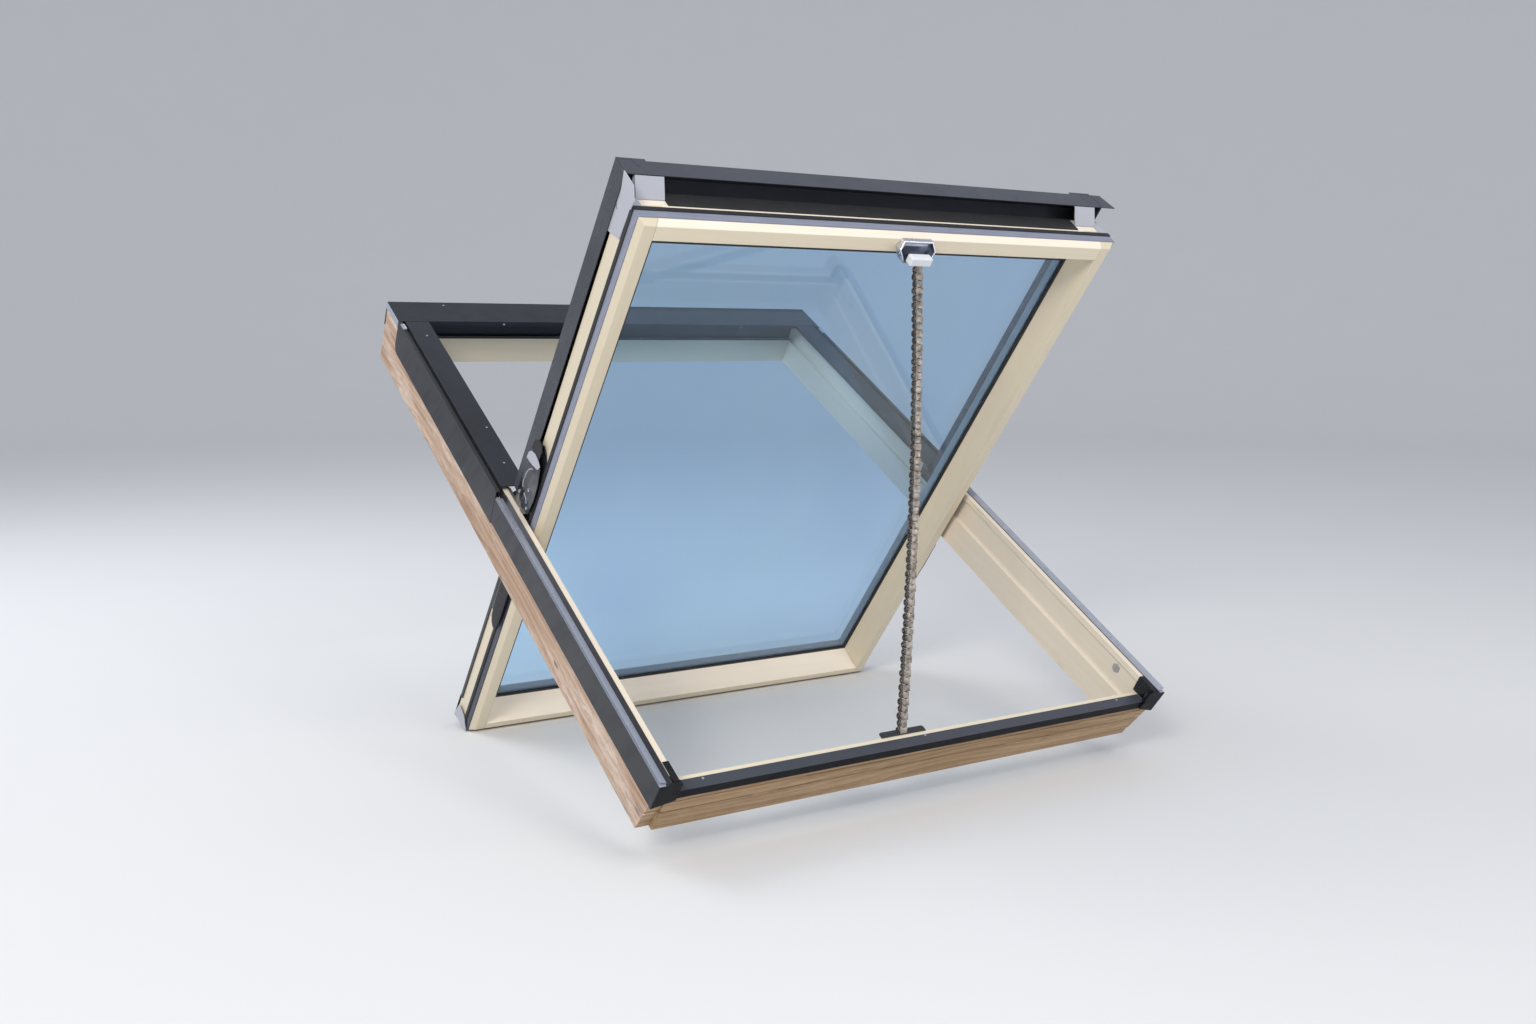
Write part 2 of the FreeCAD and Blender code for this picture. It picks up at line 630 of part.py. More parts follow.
def end_bevels(shape):
    """Carry the bevel of the cross rails over the ends of the stiles."""
    for end, inward in ((-SASH_BELOW_PIVOT, 1), (SASH_ABOVE_PIVOT, -1)):
        wedge = [
            (end - inward * SLIP, SASH_INNER_LEVEL + SASH_BEVEL + SLIP),
            (end + inward * (SASH_BEVEL + SLIP), SASH_INNER_LEVEL - SLIP),
            (end - inward * SLIP, SASH_INNER_LEVEL - SLIP),
        ]
        shape = shape.cut(across(wedge, -SASH_HALF - 1, SASH_HALF + 1))
    return shape


def sash_stile():
    """Right stile, running the full length of the sash."""
    outline = sash_profile(SASH_HALF, STILE_FACE, STILE_TO_GLASS)
    stile = along_slope(outline, -SASH_BELOW_PIVOT, SASH_ABOVE_PIVOT)
    return end_bevels(stile)


def sash_bottom_rail(stiles):
    """Bottom rail, coped over the stiles."""
    outline = sash_profile(SASH_BELOW_PIVOT, BOTTOM_FACE, BOTTOM_TO_GLASS)
    rail = across([(-y, z) for y, z in outline], -SASH_HALF, SASH_HALF)
    return rail.cut(stiles[0]).cut(stiles[1]).cut(stile_ends())


def sash_top_rail(stiles):
    """Top rail, coped over the stiles."""
    outline = sash_profile(SASH_ABOVE_PIVOT, TOP_FACE, TOP_TO_GLASS)
    rail = across(outline, -SASH_HALF, SASH_HALF)
    return rail.cut(stiles[0]).cut(stiles[1]).cut(stile_ends())


def stile_ends():
    """Space that the stiles take up at the corners, beyond their own outline."""
    low = SASH_INNER_LEVEL - SASH_BEVEL
    blocks = []
    for side in (-1, 1):
        outer = side * (SASH_HALF + SASH_BEVEL)
        inner = side * (SASH_HALF - REBATE_WALL)
        x0 = min(outer, inner)
        x1 = max(outer, inner)
        span = (SASH_BELOW_PIVOT + SASH_BEVEL, SASH_ABOVE_PIVOT + SASH_BEVEL)
        blocks.append(box((x0, -span[0], low), (x1, span[1], SASH_TOP_FACE + SASH_BEVEL)))
    return blocks[0].fuse(blocks[1])


def ring(outer, inner, low, high):
    """Rectangular ring between two (left-right, bottom, top) sizes and two heights."""
    outside = box((-outer[0], -outer[1], low), (outer[0], outer[2], high))
    inside = box((-inner[0], -inner[1], low - SLIP), (inner[0], inner[2], high + SLIP))
    return outside.cut(inside)


def grown(distance):
    """Half width and reach below and above the pivot, grown outwards by a distance."""
    return (SASH_HALF + distance, SASH_BELOW_PIVOT + distance, SASH_ABOVE_PIVOT + distance)


def daylight(extra):
    """Visible glass size, grown outwards by a distance."""
    return (
        SASH_HALF - STILE_TO_GLASS + extra,
        SASH_BELOW_PIVOT - BOTTOM_TO_GLASS + extra,
        SASH_ABOVE_PIVOT - TOP_TO_GLASS + extra,
    )


def glazing_gasket():
    """Black gasket between the timber seat and the inner pane."""
    return ring(grown(-REBATE_WALL - PANE_EDGE_GAP), daylight(-GASKET_SHOWS), SEAT_LEVEL, INNER_PANE_LEVEL)


def pane(level):
    """One pane of glass in the rebate."""
    reach = grown(-REBATE_WALL - PANE_EDGE_GAP)
    return box((-reach[0], -reach[1], level), (reach[0], reach[2], level + PANE_THICKNESS))


def glass_spacer():
    """Bar that keeps the panes apart, near their edges."""
    shows = -GASKET_SHOWS - SPACER_SHOWS
    return ring(daylight(shows + SPACER_WIDTH), daylight(shows), SPACER_LEVEL, OUTER_PANE_LEVEL)


def sash_seal_strip():
    """Pale seal carrier round the outer edge of the sash."""
    return ring(grown(SEAL_STRIP_THICKNESS), grown(0), SEAL_STRIP_LOW, WEATHER_SEAL_LOW)


def sash_weather_seal():
    """Black weather seal above the carrier."""
    top = WEATHER_SEAL_LOW + WEATHER_SEAL_HEIGHT
    return ring(grown(WEATHER_SEAL_THICKNESS), grown(0), WEATHER_SEAL_LOW, top)


def sash_cover():
    """Right cover beside the lower half of the glass, with a window for the hinge."""
    low = SASH_COVER_TOP - SASH_COVER_DROP
    path = [
        (COVER_SIDE, low),
        (COVER_SIDE, SASH_COVER_TOP),
        (COVER_SIDE - SASH_COVER_WIDTH, SASH_COVER_TOP),
        (COVER_SIDE - SASH_COVER_WIDTH - SASH_COVER_SLOPE, GLASS_TOP),
    ]
    outline = sheet_outline(path, SHEET)
    outline[3] = (outline[3][0], GLASS_TOP)
    outline[4] = (outline[4][0], GLASS_TOP)
    cover = along_slope(outline, APRON_FRONT, -SASH_COVER_START)
    inner = COVER_SIDE - SASH_COVER_WIDTH - SASH_COVER_SLOPE - SHEET
    rail_end = -SASH_BELOW_PIVOT + REBATE_WALL + SLIP
    slope_low = GLASS_TOP - SHEET
    cover = cover.cut(box((inner, APRON_FRONT, slope_low), (SASH_HALF, rail_end, SASH_TOP_FACE)))
    bracket_room = box(
        (inner, APRON_FRONT, slope_low),
        (SASH_HALF, -SASH_BELOW_PIVOT + SLIP, APRON_TOP - APRON_HEIGHT / 2 + SLIP),
    )
    cover = cover.cut(bracket_room)
    round_low = low - SHEET
    corner = HINGE_WINDOW_TOP - round_low
    window = [
        (-HINGE_WINDOW, round_low),
        (-HINGE_WINDOW + corner / 4, HINGE_WINDOW_TOP - corner / 3),
        (-HINGE_WINDOW + corner, HINGE_WINDOW_TOP),
        (0, HINGE_WINDOW_TOP),
        (0, round_low),
    ]
    return cover.cut(across(window, SASH_HALF - SLIP, COVER_SIDE + SHEET))


def sash_bottom_cover(neighbours):
    """Apron over the lower edge of the sash."""
    path = [
        (APRON_FRONT, APRON_TOP - APRON_HEIGHT),
        (APRON_FRONT, APRON_TOP),
        (APRON_FRONT + APRON_RUN, APRON_TOP),
        (APRON_FRONT + APRON_RUN + APRON_OVERHANG, GLASS_TOP),
    ]
    outline = sheet_outline(path[::-1], SHEET)
    outline[0] = (outline[0][0], GLASS_TOP)
    outline[-1] = (outline[-1][0], GLASS_TOP)
    reach = COVER_SIDE - SHEET - SLIP
    apron = across(outline, -reach, reach)
    for start in (-reach, reach - APRON_TAB_LENGTH):
        tab = box(
            (start, APRON_FRONT, APRON_TOP - SHEET),
            (start + APRON_TAB_LENGTH, APRON_FRONT + SHEET, APRON_TOP + APRON_TAB_HEIGHT),
        )
        apron = apron.fuse(tab)
    apron = apron.removeSplitter()
    for neighbour in neighbours:
        apron = apron.cut(neighbour)
    solids = sorted(apron.Solids, key=lambda solid: solid.Volume)
    return solids[-1]


def sash_bottom_foam():
    """Dark strip on the outer side of the bottom rail, under the apron."""
    reach = SASH_HALF - BRACKET_FACE - BRACKET_INSET - COVER_JOINT
    front = -SASH_BELOW_PIVOT
    low = WEATHER_SEAL_LOW + WEATHER_SEAL_HEIGHT * 2
    return box((-reach, front - SEAL_STRIP_THICKNESS, low), (reach, front, SASH_TOP_FACE))


def sash_upper_trim():
    """Slim dark trim along the right edge of the upper half of the sash."""
    side = SASH_HALF + UPPER_TRIM_SIDE
    top = UPPER_TRIM_TOP
    outline = [
        (SASH_HALF, top - UPPER_TRIM_HEIGHT),
        (side, top - UPPER_TRIM_HEIGHT),
        (side, top),
        (side - UPPER_TRIM_WIDTH, top),
        (side - UPPER_TRIM_WIDTH, GLASS_TOP),
        (side - UPPER_TRIM_WIDTH + SHEET, GLASS_TOP),
        (side - UPPER_TRIM_WIDTH + SHEET, SASH_TOP_FACE),
        (SASH_HALF, SASH_TOP_FACE),
    ]
    start = BOSS_RADIUS + ARM_SHIELD + ARM_GAP
    trim = along_slope(outline, start, SASH_ABOVE_PIVOT - UPPER_TRIM_WIDTH - SLIP)
    return trim


def sash_top_trim(stiles):
    """Upper edge profile: foot on the rail, wing that leans out, and a cover to the glass."""
    foot = SASH_INNER_LEVEL + TOP_WING_FOOT + SEAL_STRIP_HEIGHT
    top = SASH_TOP_FACE + SHEET * 2
    end = SASH_ABOVE_PIVOT
    path = [
        (end - UPPER_TRIM_WIDTH, GLASS_TOP),
        (end - UPPER_TRIM_WIDTH, top),
        (end + TOP_WING, top),
        (end + WEATHER_SEAL_THICKNESS + SLIP + SHEET, foot),
    ]
    outline = sheet_outline(path[::-1], SHEET)
    reach = SASH_HALF + UPPER_TRIM_SIDE
    trim = across(outline, -reach, reach)
    return trim.cut(stiles[0]).cut(stiles[1])


def top_corner_bracket():
    """Wedge plate that closes the right end of the upper edge profile."""
    foot = SASH_INNER_LEVEL + SASH_BEVEL
    outline = [
        (SASH_ABOVE_PIVOT - BRACKET_INSET, foot + SEAL_STRIP_HEIGHT + WEATHER_SEAL_HEIGHT),
        (SASH_ABOVE_PIVOT + WEATHER_SEAL_THICKNESS + SHEET, foot),
        (SASH_ABOVE_PIVOT + TOP_WING, SASH_TOP_FACE),
        (SASH_ABOVE_PIVOT - BRACKET_INSET, SASH_TOP_FACE - UPPER_TRIM_HEIGHT),
    ]
    level = SASH_HALF + WEATHER_SEAL_THICKNESS
    return rounded_plate(outline, SHEET, level, BRACKET_PLATE, on_side)


def corner_bracket():
    """Pale bracket at the right lower corner: side plate and a face that carries the apron."""
    side = SASH_HALF
    bottom = -SASH_BELOW_PIVOT
    low = WEATHER_SEAL_LOW + WEATHER_SEAL_HEIGHT + BRACKET_PLATE + SLIP
    foot = SASH_INNER_LEVEL + BRACKET_FOOT
    high = SASH_INNER_LEVEL + BRACKET_HIGH
    side_outline = [
        (bottom - BRACKET_PLATE, low - BRACKET_PLATE),
        (bottom + BRACKET_LEG - BRACKET_INSET, low + BRACKET_PLATE),
        (bottom + BRACKET_LEG, high),
        (bottom - BRACKET_PLATE, high),
    ]
    side_plate = face_of([vector(side, y, z) for y, z in side_outline]).extrude(vector(BRACKET_PLATE, 0, 0))
    apron_low = APRON_TOP - APRON_HEIGHT
    reach = APRON_FRONT + SHEET
    face_path = [
        (bottom - BRACKET_PLATE, foot),
        (reach, apron_low),
        (reach, apron_low + APRON_HEIGHT / 2),
        (reach + BRACKET_PLATE, apron_low + APRON_HEIGHT / 2),
        (reach + BRACKET_PLATE, apron_low),
        (bottom, foot + BRACKET_PLATE),
        (bottom, foot),
    ]
    edge = side - BRACKET_INSET
    face = across(face_path, edge - BRACKET_FACE, edge)
    rib_outline = [
        (bottom - BRACKET_PLATE, foot),
        (reach, apron_low),
        (reach, apron_low + APRON_HEIGHT / 4),
        (bottom, foot + APRON_HEIGHT / 2),
        (bottom, foot),
    ]
    rib = across(rib_outline, edge - BRACKET_PLATE, edge)
    web = box((edge - BRACKET_PLATE, bottom - BRACKET_PLATE, low - BRACKET_PLATE), (side, bottom, high - BRACKET_INSET))
    return side_plate.fuse(face).fuse(rib).fuse(web).removeSplitter()


def hinge_arm():
    """Sash half of the right hinge: long plate with leaf-shaped ends, boss and pin."""
    level = SASH_HALF
    middle = (ARM_LOW + ARM_HIGH) / 2
    lower_tip = vector(level, -ARM_DOWN, middle * 0.75)
    shield_bend = vector(level, -ARM_DOWN * 0.85, middle * 0.25)
    shield_top = vector(level, -HINGE_WINDOW * 0.55, ARM_SHIELD)
    shield_end = vector(level, -BOSS_RADIUS, ARM_SHIELD)
    neck = vector(level, BOSS_RADIUS + ARM_SHIELD, ARM_HIGH)
    upper_turn = vector(level, ARM_UP - HINGE_PLATE_REACH, ARM_HIGH)
    upper_bend = vector(level, ARM_UP - BOSS_RADIUS, ARM_HIGH - ARM_SHIELD)
    upper_tip = vector(level, ARM_UP, middle)
    lower_bend = vector(level, ARM_UP - BOSS_RADIUS, ARM_LOW + ARM_SHIELD)
    lower_turn = vector(level, ARM_UP - HINGE_PLATE_REACH, ARM_LOW)
    back_turn = vector(level, -ARM_DOWN + HINGE_PLATE_REACH / 2, ARM_LOW)
    back_bend = vector(level, -ARM_DOWN + ARM_SHIELD, ARM_LOW + BOSS_RADIUS * 0.7)
    edges = [
        Part.Arc(lower_tip, shield_bend, shield_top).toShape(),
        Part.LineSegment(shield_top, shield_end).toShape(),
        Part.LineSegment(shield_end, neck).toShape(),
        Part.LineSegment(neck, upper_turn).toShape(),
        Part.Arc(upper_turn, upper_bend, upper_tip).toShape(),
        Part.Arc(upper_tip, lower_bend, lower_turn).toShape(),
        Part.LineSegment(lower_turn, back_turn).toShape(),
        Part.Arc(back_turn, back_bend, lower_tip).toShape(),
    ]
    plate = Part.Face(Part.Wire(edges)).extrude(vector(ARM_THICKNESS, 0, 0))
    centre = vector(level, 0, 0)
    boss = Part.makeCylinder(BOSS_RADIUS, ARM_THICKNESS, centre, vector(1, 0, 0))
    pin = Part.makeCylinder(PIN_RADIUS, LIP_INNER - level - SLIP, centre, vector(1, 0, 0))
    return plate.fuse(boss).fuse(pin).removeSplitter()


def chain_bracket():
    """Bright ring of bent plate on the bottom rail of the sash, with a fixing foot."""
    bottom = -SASH_BELOW_PIVOT + CHAIN_BRACKET_EDGE
    top = bottom + CHAIN_BRACKET_HEIGHT
    belly = bottom + CHAIN_BRACKET_HEIGHT * 0.4
    outline = [
        (CHAIN_BRACKET_X - CHAIN_BRACKET_BACK / 2, bottom),
        (CHAIN_BRACKET_X + CHAIN_BRACKET_BACK / 2, bottom),
        (CHAIN_BRACKET_X + CHAIN_BRACKET_WIDTH / 2, belly),
        (CHAIN_BRACKET_X + CHAIN_BRACKET_FRONT / 2, top),
        (CHAIN_BRACKET_X - CHAIN_BRACKET_FRONT / 2, top),
        (CHAIN_BRACKET_X - CHAIN_BRACKET_WIDTH / 2, belly),
    ]
    level = SASH_INNER_LEVEL - CHAIN_BRACKET_DEPTH
    outer = face_of([vector(x, y, level) for x, y in outline])
    inner = outer.makeOffset2D(-CHAIN_BRACKET_WALL, 2)
    wall = outer.cut(inner).extrude(vector(0, 0, CHAIN_BRACKET_DEPTH))
    face_end = -SASH_BELOW_PIVOT + BOTTOM_FACE
    foot = outer.extrude(vector(0, 0, CHAIN_BRACKET_WALL))
    foot.translate(vector(0, 0, CHAIN_BRACKET_DEPTH - CHAIN_BRACKET_WALL))
    limit = box(
        (CHAIN_BRACKET_X - CHAIN_BRACKET_WIDTH, bottom, level),
        (CHAIN_BRACKET_X + CHAIN_BRACKET_WIDTH, face_end, SASH_INNER_LEVEL),
    )
    slanted_rim = [
        (bottom - SHEET, SASH_INNER_LEVEL - CHAIN_BRACKET_SHALLOW),
        (top - BLOCK_HEIGHT, level),
        (bottom - SHEET, level - SHEET),
    ]
    rim = across(slanted_rim, CHAIN_BRACKET_X - CHAIN_BRACKET_WIDTH, CHAIN_BRACKET_X + CHAIN_BRACKET_WIDTH)
    return wall.fuse(foot.common(limit)).cut(rim).removeSplitter()


def block_centre():
    """Middle of the chain's end block, inside the front of the ring."""
    top = -SASH_BELOW_PIVOT + CHAIN_BRACKET_EDGE + CHAIN_BRACKET_HEIGHT
    y = top - CHAIN_BRACKET_WALL - BLOCK_HEIGHT / 2 + SLIP
    return vector(CHAIN_BRACKET_X, y, SASH_INNER_LEVEL - CHAIN_BRACKET_DEPTH - BLOCK_DEPTH / 2)


def chain_end_block():
    """Block across the ring that the last link is pinned to."""
    centre = block_centre()
    outline = [
        (centre.x - BLOCK_WIDTH / 2, centre.y - BLOCK_HEIGHT / 2),
        (centre.x + BLOCK_WIDTH / 2, centre.y - BLOCK_HEIGHT / 2),
        (centre.x + BLOCK_WIDTH / 2, centre.y + BLOCK_HEIGHT / 2),
        (centre.x - BLOCK_WIDTH / 2, centre.y + BLOCK_HEIGHT / 2),
    ]
    return rounded_plate(outline, EDGE_ROUND, centre.z - BLOCK_DEPTH / 2, BLOCK_DEPTH, on_face)


def sash_placement():
    """Where the open sash stands in the frame."""
    return FreeCAD.Placement(
        vector(0, PIVOT_UP_SLOPE, PIVOT_HEIGHT), FreeCAD.Rotation(vector(1, 0, 0), -OPEN_ANGLE)
    )


def many_sided(count, radius_along, radius_up, thickness):
    """Flat plate with the given number of corners, centred on the origin, thickness along X."""
    corners = []
    for step in range(count):
        angle = math.tau * (step + 0.5) / count
        corners.append(vector(-thickness / 2, radius_along * math.cos(angle), radius_up * math.sin(angle)))
    return face_of(corners).extrude(vector(thickness, 0, 0))


def push_chain():
    """Chain of paired link plates and rollers from the outlet up to the end block."""
    reach = block_centre()
    reach.x = CHAIN_HEAD_X
    reach.y = reach.y + BLOCK_HEIGHT / 2
    head = sash_placement().multVec(reach)
    foot = vector(CHAIN_FOOT_X, CHAIN_FOOT_Y, BOTTOM_RAIL_TOP + OUTLET_THICKNESS)
    run = head - foot
    block_down = sash_placement().Rotation.multVec(vector(0, 1, 0))
    slant = run.getAngle(-block_down)
    link_end = math.hypot(CHAIN_PITCH * LINK_SHARE * math.cos(slant), PLATE_HEIGHT / 2 * math.sin(slant))
    lean = CHAIN_WIDTH / 2 * abs(run.x) / run.Length
    run = run * (1 - (link_end + lean + SLIP) / math.cos(slant) / run.Length)
    count = int(run.Length / CHAIN_PITCH)
    direction = vector(run.x, run.y, run.z).normalize()
    side = vector(1, 0, 0) - direction * direction.x
    side.normalize()
    up = direction.cross(side)
    plates = []
    for index in range(count + 1):
        share = index / count
        sway = side * (CHAIN_BULGE * math.sin(math.pi * share))
        point = foot + run * share + sway
        turn = FreeCAD.Rotation(side, direction, up, "XYZ")
        place = FreeCAD.Placement(point, turn)
        inset = PLATE_THICKNESS * (1 + index % 2)
        roller = many_sided(ROLLER_CORNERS, ROLLER_RADIUS, ROLLER_RADIUS, CHAIN_WIDTH)
        roller.Placement = place
        plates.append(roller)
        for hand in (-1, 1):
            plate = many_sided(PLATE_CORNERS, CHAIN_PITCH * LINK_SHARE, PLATE_HEIGHT / 2, PLATE_THICKNESS)
            shift = side * (hand * (CHAIN_WIDTH / 2 - inset + PLATE_THICKNESS / 2))
            plate.Placement = FreeCAD.Placement(point + shift, turn)
            plates.append(plate)
    return plates[0].multiFuse(plates[1:])


def in_roof(shape):
    """Turn a piece to the roof pitch, with the origin on the underside of the bottom rail."""
    anchor_y = (BOTTOM_RAIL_FRONT + SHEET + BOTTOM_RAIL_UNDERCUT + BOTTOM_RAIL_INNER) / 2
    shift = FreeCAD.Placement(vector(0, -anchor_y, FRAME_DEPTH), FreeCAD.Rotation())
    pitch = FreeCAD.Placement(vector(0, 0, 0), FreeCAD.Rotation(vector(1, 0, 0), ROOF_PITCH))
    placed = shape.copy()
    placed.Placement = pitch.multiply(shift).multiply(shape.Placement)
    return placed


def frame_pieces():
    """Every piece that stays with the roof."""
    jamb = frame_jamb()
    jambs = (mirrored(jamb), jamb)
    pieces = {
        "frame_left_jamb": jambs[0],
        "frame_right_jamb": jambs[1],
        "frame_bottom_rail": frame_bottom_rail(jambs),
        "frame_top_rail": frame_top_rail(jambs),
        "top_hood": top_hood(),
        "top_inner_flashing": top_inner_flashing(),
        "frame_top_seal": frame_top_seal(),
        "bottom_rail_cladding": bottom_rail_cladding(),
        "chain_outlet_plate": chain_outlet_plate(),
        "push_chain": push_chain(),
    }
    pairs = {
        "side_cladding": lower_side_cladding(),
        "upper_side_cladding": upper_side_cladding(),
        "upper_cover": upper_cover(),
        "end_cap": end_cap(),
        "hinge_plate": hinge_plate(),
        "lock_disc": lock_disc(),
    }
    for name, shape in pairs.items():
        pieces["right_" + name] = shape
        pieces["left_" + name] = mirrored(shape)
    return pieces


def sash_pieces():
    """Every piece that turns with the sash, drawn closed about the pivot."""
    stile = sash_stile()
    stiles = (mirrored(stile), stile)
    cover = sash_cover()
    covers = (mirrored(cover), cover)
    bracket = corner_bracket()
    brackets = (mirrored(bracket), bracket)
    pieces = {
        "sash_left_stile": stiles[0],
        "sash_right_stile": stiles[1],
        "sash_bottom_rail": sash_bottom_rail(stiles),
        "sash_top_rail": sash_top_rail(stiles),
        "glazing_gasket": glazing_gasket(),
        "inner_glass_pane": pane(INNER_PANE_LEVEL),
        "outer_glass_pane": pane(OUTER_PANE_LEVEL),
        "glass_spacer": glass_spacer(),
        "sash_seal_strip": sash_seal_strip(),
        "sash_weather_seal": sash_weather_seal(),
        "sash_bottom_cover": sash_bottom_cover(covers + stiles + brackets),
        "sash_bottom_foam": sash_bottom_foam(),
        "sash_top_trim": sash_top_trim(stiles),
        "chain_bracket": chain_bracket(),
        "chain_end_block": chain_end_block(),
        "sash_left_cover": covers[0],
        "sash_right_cover": covers[1],
    }
    pairs = {
        "sash_upper_trim": sash_upper_trim(),
        "corner_bracket": bracket,
        "top_corner_bracket": top_corner_bracket(),
        "hinge_arm": hinge_arm(),
    }
    for name, shape in pairs.items():
        pieces["right_" + name] = shape
        pieces["left_" + name] = mirrored(shape)
    return pieces


def main():
    """Write one file per piece."""
    os.makedirs("parts", exist_ok=True)
    pieces = frame_pieces()
    opened = sash_placement()
    for name, shape in sash_pieces().items():
        turned = shape.copy()
        turned.Placement = opened.multiply(shape.Placement)
        pieces[name] = turned
    for name, shape in pieces.items():
        placed = in_roof(shape)
        placed.exportStep("parts/" + name + ".step")
        print(name, len(placed.Solids), placed.isValid(), round(placed.Volume), len(placed.Faces))


main()
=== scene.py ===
import logging
import math
from contextlib import contextmanager
from dataclasses import dataclass, field
from enum import Enum
from typing import Callable, Iterator, Sequence

import bmesh
import bpy
from mathutils import Matrix, Vector


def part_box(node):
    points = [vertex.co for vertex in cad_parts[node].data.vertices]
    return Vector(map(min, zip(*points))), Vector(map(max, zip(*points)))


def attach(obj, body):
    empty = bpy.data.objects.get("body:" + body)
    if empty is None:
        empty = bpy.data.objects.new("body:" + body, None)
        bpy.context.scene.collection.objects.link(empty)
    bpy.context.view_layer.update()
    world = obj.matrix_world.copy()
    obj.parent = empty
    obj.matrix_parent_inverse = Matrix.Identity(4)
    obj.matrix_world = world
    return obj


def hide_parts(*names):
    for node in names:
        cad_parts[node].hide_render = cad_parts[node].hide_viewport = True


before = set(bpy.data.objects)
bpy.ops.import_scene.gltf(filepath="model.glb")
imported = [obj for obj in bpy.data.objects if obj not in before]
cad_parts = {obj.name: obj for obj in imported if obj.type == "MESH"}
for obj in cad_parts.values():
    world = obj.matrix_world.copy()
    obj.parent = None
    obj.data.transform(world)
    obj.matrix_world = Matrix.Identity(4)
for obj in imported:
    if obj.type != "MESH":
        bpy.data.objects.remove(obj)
LOG = logging.getLogger("roof_window")
MM = 0.001
TOUCHING = MM / 10
QUARTER_TURN = math.radians(90)
ALONG_X = (0, QUARTER_TURN, 0)
# Share of a face's normal along an axis: from here on the face looks that way.
SQUARE_ON = 0.9
LEANING = 0.5
SMOOTH_BELOW = math.radians(50)

Colour = tuple[float, float, float]
Point = tuple[float, float, float]
Outline = Sequence[tuple[float, float]]
Piece = bpy.types.Object
Material = bpy.types.Material
Socket = bpy.types.NodeSocket
EditMesh = bmesh.types.BMesh
Wanted = Callable[..., bool]
WantedAt = Callable[[Vector, Vector], bool]


class Kind(Enum):
    """What an edit works on."""

    CORNERS = "VERT"
    EDGES = "EDGE"
    FACES = "FACE"


class Axis(Enum):
    """The three axes of a drawing plane, or of the room."""

    X = 0
    Y = 1
    Z = 2


class Plane(Enum):
    """The two planes that pieces are drawn in."""

    ROOF = "roof"
    SASH = "sash"


class Run(Enum):
    """The direction in which a bar's grain runs."""

    ACROSS = "across"
    UP_SLOPE = "up_slope"
    ALONG_SASH = "along_sash"


class Side(Enum):
    """Left or right half of the window."""

    LEFT = "left"
    RIGHT = "right"

    @property
    def sign(self) -> float:
        """-1 on the left, 1 on the right."""
        return -1.0 if self is Side.LEFT else 1.0


class End(Enum):
    """Bottom or top of the frame, or of the sash."""

    BOTTOM = "bottom"
    TOP = "top"


@dataclass(frozen=True)
class Stand:
    """How the window stands: the roof's pitch and the sash's turn on its hinges, in degrees."""

    pitch: float = 30.0
    opening: float = 81.4
    pivot_up_slope: float = 634.5 * MM
    anchor_up_slope: float = 21.5 * MM
    depth: float = 105 * MM

    def matrix(self, plane: Plane) -> Matrix:
        """Place of a drawing plane in the room.

        Args:
            plane: The roof, or the open sash.

        Returns:
            The matrix from that plane to the room.
        """
        roof = Matrix.Rotation(math.radians(self.pitch), 4, "X")
        roof = roof @ Matrix.Translation((0, -self.anchor_up_slope, self.depth))
        if plane is Plane.ROOF:
            return roof
        turn = Matrix.Rotation(math.radians(-self.opening), 4, "X")
        return roof @ Matrix.Translation((0, self.pivot_up_slope, 0)) @ turn

    def grain_turn(self, run: Run) -> Point:
        """Turn that lays a bar's length along the pattern's Y axis.

        Args:
            run: The direction of the grain.

        Returns:
            The turn about the room's three axes.
        """
        if run is Run.ACROSS:
            return (0.0, 0.0, QUARTER_TURN)
        tilt = self.pitch if run is Run.UP_SLOPE else self.pitch - self.opening
        return (math.radians(-tilt), 0.0, 0.0)


STAND = Stand()


def take(piece: Piece) -> None:
    """Deselect everything, then select one piece and make it active.

    Args:
        piece: The piece to work on.
    """
    bpy.ops.object.select_all(action="DESELECT")
    piece.select_set(True)
    bpy.context.view_layer.objects.active = piece


def fix_place(name: str) -> Piece:
    """Name the primitive that was just added, and keep its place in its mesh.

    Args:
        name: The new piece's name.

    Returns:
        The new piece.
    """
    piece = bpy.context.object
    piece.name = name
    bpy.ops.object.transform_apply(location=True, rotation=True, scale=True)
    return piece


@contextmanager
def editing(piece: Piece, kind: Kind = Kind.FACES) -> Iterator[EditMesh]:
    """Edit mode on one piece, with nothing selected.

    Args:
        piece: The piece to edit.
        kind: What is selected in it.

    Returns:
        The piece's edit mesh, for selecting in.
    """
    take(piece)
    bpy.ops.object.mode_set(mode="EDIT")
    bpy.ops.mesh.select_mode(type=kind.value)
    bpy.ops.mesh.select_all(action="DESELECT")
    yield bmesh.from_edit_mesh(piece.data)
    bpy.ops.object.mode_set(mode="OBJECT")


def choose(mesh: EditMesh, kind: Kind, wanted: Wanted) -> None:
    """Select the elements that pass a test, and no others.

    Args:
        mesh: The edit mesh.
        kind: Corners, edges or faces.
        wanted: Says whether an element is wanted.
    """
    rows = {Kind.CORNERS: mesh.verts, Kind.EDGES: mesh.edges, Kind.FACES: mesh.faces}[kind]
    for item in rows:
        item.select_set(bool(wanted(item)))
    mesh.select_flush_mode()


def facing(axis: Axis, sign: float) -> Wanted:
    """Test for faces that look along an axis."""
    return lambda face: face.normal[axis.value] * sign > SQUARE_ON


